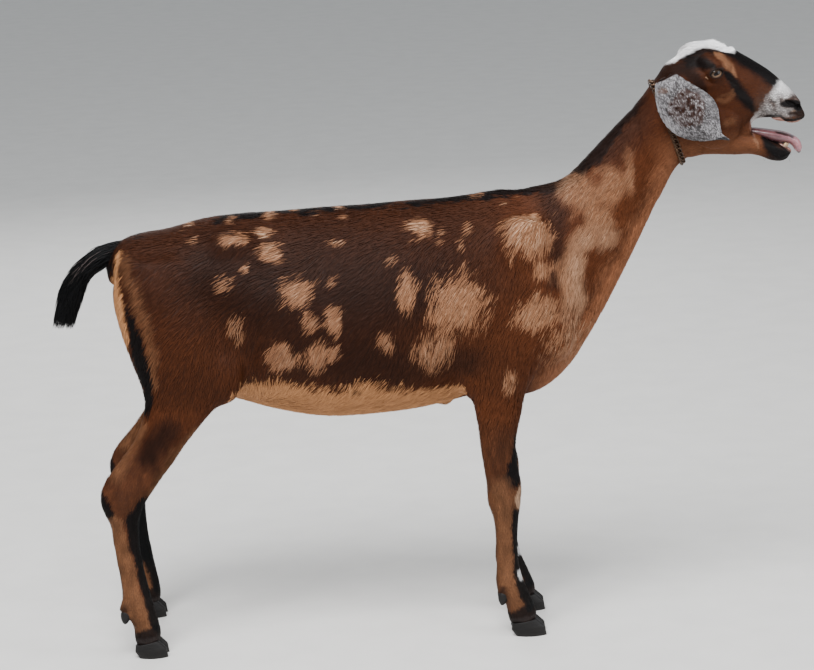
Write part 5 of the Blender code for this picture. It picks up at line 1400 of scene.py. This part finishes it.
def lid_rim(side, sizes):
    """The dark moist edge of the lids: a tube along the opening, thicker at the front corner."""
    centre, gaze, slit, rise = eye_frame(side)
    turn = turns(72)
    along, up = almond(sizes, turn, 0.0001)
    depth = np.sqrt((sizes.eye_radius + 0.0011) ** 2 - (along**2 + up**2))
    path = centre + (along[:, None] * slit + up[:, None] * rise) + depth[:, None] * gaze
    return ring_tube(f"lid_rim_{SIDE_NAMES[side]}", path, 0.0005 + 0.0004 * ramp(np.cos(turn)) ** 6, 10)


def tongue_body():
    """The tongue: its loft with a shallow groove down the middle of the upper side."""
    rings = loft_rings(TONGUE, 48, 8)
    middle = rings.mean(axis=1, keepdims=True)
    upper = ramp(rings[..., 2:] - middle[..., 2:], 0.004)
    share = np.sin(np.linspace(0, math.pi, len(rings)))[:, None, None]
    groove = np.exp(-((rings[..., 1:2] / 0.0026) ** 2)) * 0.0013 * upper * share
    return closed_grid("tongue_flesh", rings - groove * np.array([0.3, 0, 1.0]))


def incisors(sizes):
    """A bar of gum with a row of chisel teeth in an arch; a tooth is a superellipsoid of power 0.6
    whose width grows to its worn, flat top."""
    gum = ellipsoid((0.5545, 0, 0.751), (0.0095, 0.015, 0.0035), 30, 40)
    gum_points = len(gum.data.vertices)
    polar = np.linspace(0, math.pi, 16)[1:-1, None]
    turn = turns(18)[None, :]
    wide = signed_power(np.sin(polar), 0.6)
    high = signed_power(np.cos(polar), 0.6)
    ball = packed(wide * signed_power(np.cos(turn), 0.7), wide * signed_power(np.sin(turn), 0.7), high)
    ball = ball * (0.0019, 0.002, 0.0047) * (1 + 0.22 * high[..., None] * (0, 1, 0))
    tilt = rotation(30, "Y")
    teeth = []
    for degrees in np.linspace(-56, 56, sizes.teeth):
        angle = math.radians(degrees)
        place = (0.5505 + 0.0115 * math.cos(angle), 0.015 * math.sin(angle), 0.7532 - 0.003 * math.cos(angle))
        teeth.append(closed_grid("tooth", ball @ rotation(degrees, "Z").T @ tilt.T + place))
    row = joined("incisor_row", [gum, *teeth])
    heights = (read_points(row.data)[gum_points:] @ tilt[:, 2]).reshape(len(teeth), -1)
    heights = (heights - heights.min(axis=1, keepdims=True)) / np.ptp(heights, axis=1)[:, None]
    return row, gum_points, heights.ravel()


# A claw's levels, sole to top: rear inset and front inset as shares of its length, share of width.
CLAW_LEVELS = ((0.15, 0.02, 0.92), (0.03, 0.06, 1.0), (0.05, 0.29, 0.86))


def claw(heel_x, toe_x, centre_y, outer):
    """One claw: rings from the flat sole to the sloping coronet. Ring points are reach * cos and half
    width * sin to the power 0.8, narrowed to the toe, with growth ridges as small waves in height."""
    turn = turns(64)[None, :]
    share = np.concatenate([[0.0, 0.0, 0.02], np.linspace(0.06, 1, 30), [1.0, 0.97]])[:, None]
    inset = np.concatenate([[0.55, 0.06, 0.0], np.zeros(30), [0.1, 0.45]])[:, None]
    rear_in, front_in, width = (np.interp(share, [0, 0.5, 1], column) for column in zip(*CLAW_LEVELS))
    length = toe_x - heel_x
    rear, front = heel_x + rear_in * length, toe_x - front_in * length
    middle, reach = (rear + front) / 2, (front - rear) / 2
    ridge = 1 + 0.006 * np.sin(share * 46 + 0.8 * np.sin(turn)) * (share > 0.04) * (share < 0.99)
    x = middle + reach * np.cos(turn) * (1 - inset) * ridge
    taper = 1 - 0.42 * ramp(np.cos(turn)) ** 2 * (1 - share)
    bulge = np.where(np.sin(turn) * outer > 0, 1.0, 0.86)
    y = centre_y + 0.0112 * width * signed_power(np.sin(turn), 0.8) * taper * bulge * (1 - inset) * ridge
    top = 0.02 + 0.01 * (x - heel_x) / length
    return closed_grid("claw", packed(x, y, top * share))


def foot_place(pair, side):
    """Where a foot stands: the x of heel and toe, the y of its middle, and the dewclaws' height."""
    heel_x, toe_x, stance, high = FEET[pair]
    shift = far_foot_shift(pair == "hind", 0.0) if side == LEFT else 0.0
    return heel_x + shift, toe_x + shift, stance * side, high


def hooves(pair, side):
    """The two claws and two dewclaws of one foot."""
    heel_x, toe_x, stance, high = foot_place(pair, side)
    pieces = []
    for outer in (side, -side):
        pieces.append(claw(heel_x, toe_x, stance + 0.0124 * outer, outer))
        dewclaw = heel_x - 0.0102, stance + 0.0114 * outer, high
        pieces.append(ellipsoid(dewclaw, (0.0078, 0.0065, 0.0122), 8, 26, 0.25))
    return joined(f"horn_{pair}_{SIDE_NAMES[side]}", pieces)


def chain(sizes):
    """A curb chain round the neck. A link is an oval, half length * cos and half width * sin, with
    its wire swung out and in by sin of twice the turn, so that each link passes through the next."""
    throat, nape = np.array(THROAT), np.array(NAPE)
    neck = closed_grid("neck", loft_rings(NECK, 60, 8))
    middle, rise = (throat + nape) / 2, unit(nape - throat)
    plane = np.cross((0, 1, 0), rise)
    turn = turns(480)[:, None]
    path = middle + 0.064 * (np.cos(turn) * (0, 0.8, 0) + np.sin(turn) * rise)
    for _ in range(3):
        ground = nearest_on(path, neck)
        path = ground - plane * ((ground - middle) @ plane)[:, None]
    path += unit(path - middle) * sizes.stand_off
    for _ in range(40):
        path = (np.roll(path, 1, axis=0) + 2 * path + np.roll(path, -1, axis=0)) / 4
    remove([neck])
    closed = np.vstack([path, path[:1]])
    reach = np.concatenate([[0], np.cumsum(span(np.diff(closed, axis=0)))])
    stops = np.linspace(0, reach[-1], sizes.links, endpoint=False)
    places = packed(*(np.interp(stops, reach, column) for column in closed.T))
    along = unit(np.roll(places, -1, axis=0) - np.roll(places, 1, axis=0))
    flat = unit(np.cross(along, unit(places - middle)))
    out = np.cross(flat, along)
    wide = flat * math.cos(LINK_LEAN) + out * math.sin(LINK_LEAN)
    normal = out * math.cos(LINK_LEAN) - flat * math.sin(LINK_LEAN)
    loop = turns(LINK_RINGS)[:, None, None]
    long_part = along[None] * sizes.length / 2 * signed_power(np.cos(loop), 0.8)
    centre = places + long_part + wide[None] * sizes.width / 2 * signed_power(np.sin(loop), 0.9)
    centre = centre + normal[None] * sizes.wire * 0.95 * np.sin(2 * loop)
    spoke = unit(centre - places)[:, :, None]
    turn = turns(WIRE_SIDES)[None, None, :, None]
    points = centre[:, :, None] + sizes.wire * (np.cos(turn) * spoke + np.sin(turn) * normal[None, :, None])
    link = grid_faces(LINK_RINGS, WIRE_SIDES, closed_rows=True)
    faces = (np.arange(sizes.links)[:, None, None] * LINK_RINGS * WIRE_SIDES + link).reshape(-1, 4)
    return outward(new_object("neck_chain", points.transpose(1, 0, 2, 3).reshape(-1, 3), faces))


# Operators


class GOAT_OT_skin(bpy.types.Operator):
    """Makes the skin as one surface with the coat's markings"""

    bl_idname = "goat.skin"
    bl_label = "Skin"

    def execute(self, context):
        skin = skin_surface(context.scene.goat_coat, context.scene.goat_head)
        points = read_points(skin.data)
        ear = ear_share(points)
        found = coat_colour(points, ear, np.full(len(points), SKIN_LOT), palette_of(context))
        # Painted shade: where hair grows, the skin takes 0.8 of the coat's colour, for the shade beneath the tufts;
        # bare skin keeps it whole.
        paint(skin, found * np.where(bare_share(points), 1, 0.8)[:, None])
        material = painted_material("skin", 420, 0.75, 1.2, 0.45, Roughness=0.6, Specular_IOR_Level=0.12)
        nodes = ["torso", "neck", "head", "lower_jaw", "ear_right", "ear_left"]
        nodes += [f"leg_{pair}_{SIDE_NAMES[side]}" for pair, side in LEGS]
        finish_piece(skin, "coat", material, *nodes)
        return {"FINISHED"}


class GOAT_OT_coat(bpy.types.Operator):
    """Covers the skin with short hair in flat tufts"""

    bl_idname = "goat.coat"
    bl_label = "Short coat"

    def execute(self, context):
        coat(bpy.data.objects["skin"], context.scene.goat_coat, palette_of(context))
        return {"FINISHED"}


class GOAT_OT_long_hair(bpy.types.Operator):
    """Makes the tail's hair, the poll's tuft, lashes and whiskers"""

    bl_idname = "goat.long_hair"
    bl_label = "Long hair"

    def execute(self, context):
        sizes, palette = context.scene.goat_coat, palette_of(context)
        material = painted_material("long_hair", 1200, 0.8, 1.2, 0.1, Roughness=0.5, Specular_IOR_Level=0.14)
        finish_piece(tail_hair(sizes, palette), "tail", material, "tail")
        finish_piece(poll_hair(bpy.data.objects["skin"], sizes, palette), "coat", material)
        finish_piece(whiskers(sizes, palette), "coat", material)
        return {"FINISHED"}


class GOAT_OT_eyes(bpy.types.Operator):
    """Makes both eyeballs and the dark rims of the lids"""

    bl_idname = "goat.eyes"
    bl_label = "Eyes"

    def execute(self, context):
        sizes, palette = context.scene.goat_head, palette_of(context)
        glossy = painted_material("eye_surface", 2500, 0.85, 1.15, 0.0, Roughness=0.09, IOR=1.3)
        rim, tree, shader = new_material("lid_rim", Roughness=0.6, Specular_IOR_Level=0.15)
        height = grain(tree, 1500)
        dark = node(tree, "ShaderNodeMix", Factor=height)
        dark.data_type = "RGBA"
        dark.inputs["A"].default_value = (*palette["bare_dark"], 1)
        dark.inputs["B"].default_value = (*palette["bare_dark"] * 3, 1)
        tree.links.new(dark.outputs["Result"], shader.inputs["Base Color"])
        bumped(tree, shader, height, 0.3, 0.0003)
        for side in SIDES:
            finish_piece(eyeball(side, sizes, palette), "eye", glossy, f"eye_{SIDE_NAMES[side]}")
            finish_piece(lid_rim(side, sizes), "coat", rim)
        return {"FINISHED"}


class GOAT_OT_mouth(bpy.types.Operator):
    """Makes the tongue and the lower incisors"""

    bl_idname = "goat.mouth"
    bl_label = "Tongue and teeth"

    def execute(self, context):
        palette = palette_of(context)
        tongue = tongue_body()
        points = read_points(tongue.data)
        mottle = noise(points, 0.0035, 51)[:, None]
        tip = ramp(points[:, :1] - 0.545, 0.035)
        edge = line_gap(np.abs(points), [(0.547, 0.013, 0.774), (0.559, 0.014, 0.7705), (0.569, 0.011, 0.765)])
        dark = ramp(0.0036 + 0.003 * noise(points, 0.004, 52) - edge, 0.0015)
        dark = np.maximum(dark, ramp(0.7425 - points[:, 2], 0.003))[:, None]
        flesh = palette["tongue"] * (0.52 + 0.45 * mottle) * (1 + 1.5 * tip) + tip * (0.06, 0.035, 0.042)
        paint(tongue, flesh * (1 - 0.85 * dark))
        wet = painted_material("wet_tongue", 1800, 0.85, 1.15, 0.35, Roughness=0.34, Coat_Weight=0.3,
                               Subsurface_Weight=0.15, Subsurface_Scale=0.004)
        finish_piece(tongue, "tongue", wet, "tongue")
        row, gum_points, heights = incisors(context.scene.goat_head)
        gum = np.repeat(palette["pink"][None] * 0.6, gum_points, axis=0)
        paint(row, np.vstack([gum, palette["tooth"] * (0.55 + 0.75 * heights[:, None])]))
        hard = painted_material("enamel", 1500, 0.85, 1.1, 0.1, Roughness=0.3, Coat_Weight=0.3)
        finish_piece(row, "tooth", hard, "lower_incisors")
        return {"FINISHED"}


class GOAT_OT_hooves(bpy.types.Operator):
    """Makes the claws and dewclaws of all four feet"""

    bl_idname = "goat.hooves"
    bl_label = "Hooves"

    def execute(self, context):
        horn = palette_of(context)["horn"]
        material = painted_material("horn", 700, 0.75, 1.25, 0.35, Roughness=0.55, Specular_IOR_Level=0.25)
        for pair, side in LEGS:
            foot = hooves(pair, side)
            points = read_points(foot.data)
            bands = 0.75 + 0.5 * noise(points * (0.3, 0.3, 1.0), 0.0018, 61)[:, None]
            worn = ramp(0.006 - points[:, 2:], 0.006)
            paint(foot, horn * bands * (1 + 0.9 * worn) * (0.8 + 0.5 * noise(points, 0.012, 62)[:, None]))
            label = f"{pair}_{SIDE_NAMES[side]}"
            nodes = [f"{kind}_{label}_{where}" for kind in ("hoof", "dewclaw") for where in ("outer", "inner")]
            finish_piece(foot, "horn", material, *nodes)
        return {"FINISHED"}


class GOAT_OT_chain(bpy.types.Operator):
    """Makes the fine curb chain around the neck"""

    bl_idname = "goat.chain"
    bl_label = "Neck chain"

    def execute(self, context):
        links = chain(context.scene.goat_chain)
        worn = noise(read_points(links.data), 0.004, 71)[:, None]
        paint(links, palette_of(context)["bronze"] * (0.5 + 1.1 * worn))
        material = painted_material("tarnished_bronze", 1400, 0.7, 1.3, 0.15, Roughness=0.34, Metallic=0.85)
        finish_piece(links, "chain", material, "collar")
        return {"FINISHED"}


class GOAT_OT_stage(bpy.types.Operator):
    """Sets the floor, lamps, light from all round, and camera"""

    bl_idname = "goat.stage"
    bl_label = "Stage"

    def execute(self, context):
        look = context.scene.goat_stage
        corners = np.array([(-1, -1, 0), (1, -1, 0), (1, 1, 0), (-1, 1, 0)]) * FLOOR_REACH
        floor = new_object("floor", corners, np.array([[0, 1, 2, 3]]))
        material, tree, shader = new_material("floor", Roughness=0.85)
        tone = node(tree, "ShaderNodeRGB")
        tone.outputs[0].default_value = (*look.floor, 1)
        tree.links.new(tinted(tree, tone.outputs[0], grain(tree, 12), 0.97, 1.03), shader.inputs["Base Color"])
        floor.data.materials.append(material)
        for name, width, place in LAMPS:
            lamp = bpy.data.lights.new(name, "AREA")
            lamp.energy, lamp.size = look.key_power if name == "key" else look.fill_power, width
            turned = (Vector((0, 0, 0.45)) - Vector(place)).to_track_quat("-Z", "Y").to_matrix().to_4x4()
            linked(name, lamp).matrix_world = Matrix.Translation(place) @ turned
        world = bpy.data.worlds.new("surround")
        world.use_nodes = True
        sky = world.node_tree.nodes["Background"]
        sky.inputs[0].default_value, sky.inputs[1].default_value = (*look.sky, 1), look.surround
        context.scene.world = world
        lens = bpy.data.cameras.new("camera")
        lens.lens, lens.sensor_width, lens.clip_end = CAMERA_LENS, 36, 100
        pitch = Matrix.Rotation(math.radians(90 - CAMERA_DIP), 4, "X")
        roll = Matrix.Rotation(-math.radians(CAMERA_ROLL), 4, "Z")
        context.scene.camera = linked("camera", lens)
        context.scene.camera.matrix_world = Matrix.Translation(CAMERA_PLACE) @ pitch @ roll
        return {"FINISHED"}


OPERATORS = (GOAT_OT_skin, GOAT_OT_coat, GOAT_OT_long_hair, GOAT_OT_eyes, GOAT_OT_mouth, GOAT_OT_hooves,
             GOAT_OT_chain, GOAT_OT_stage)


class GOAT_PT_panel(bpy.types.Panel):
    """Lists the pieces of the goat in the order in which they are made"""

    bl_label = "Goat"
    bl_idname = "GOAT_PT_panel"
    bl_space_type = "VIEW_3D"
    bl_region_type = "UI"
    bl_category = "Goat"

    def draw(self, context):
        for operator in OPERATORS:
            self.layout.operator(operator.bl_idname)


GROUPS = {"goat_colours": CoatColours, "goat_coat": CoatSizes, "goat_head": HeadSizes, "goat_chain": ChainSizes,
          "goat_stage": StageLook}


def register():
    for kind in (*GROUPS.values(), *OPERATORS, GOAT_PT_panel):
        bpy.utils.register_class(kind)
    for name, group in GROUPS.items():
        setattr(bpy.types.Scene, name, PointerProperty(type=group))


def unregister():
    for name in GROUPS:
        delattr(bpy.types.Scene, name)
    for kind in (GOAT_PT_panel, *reversed(OPERATORS), *GROUPS.values()):
        bpy.utils.unregister_class(kind)


def main():
    register()
    bpy.ops.goat.skin()
    bpy.ops.goat.coat()
    bpy.ops.goat.long_hair()
    bpy.ops.goat.eyes()
    bpy.ops.goat.mouth()
    bpy.ops.goat.hooves()
    bpy.ops.goat.chain()
    bpy.ops.goat.stage()


if __name__ == "__main__":
    main()
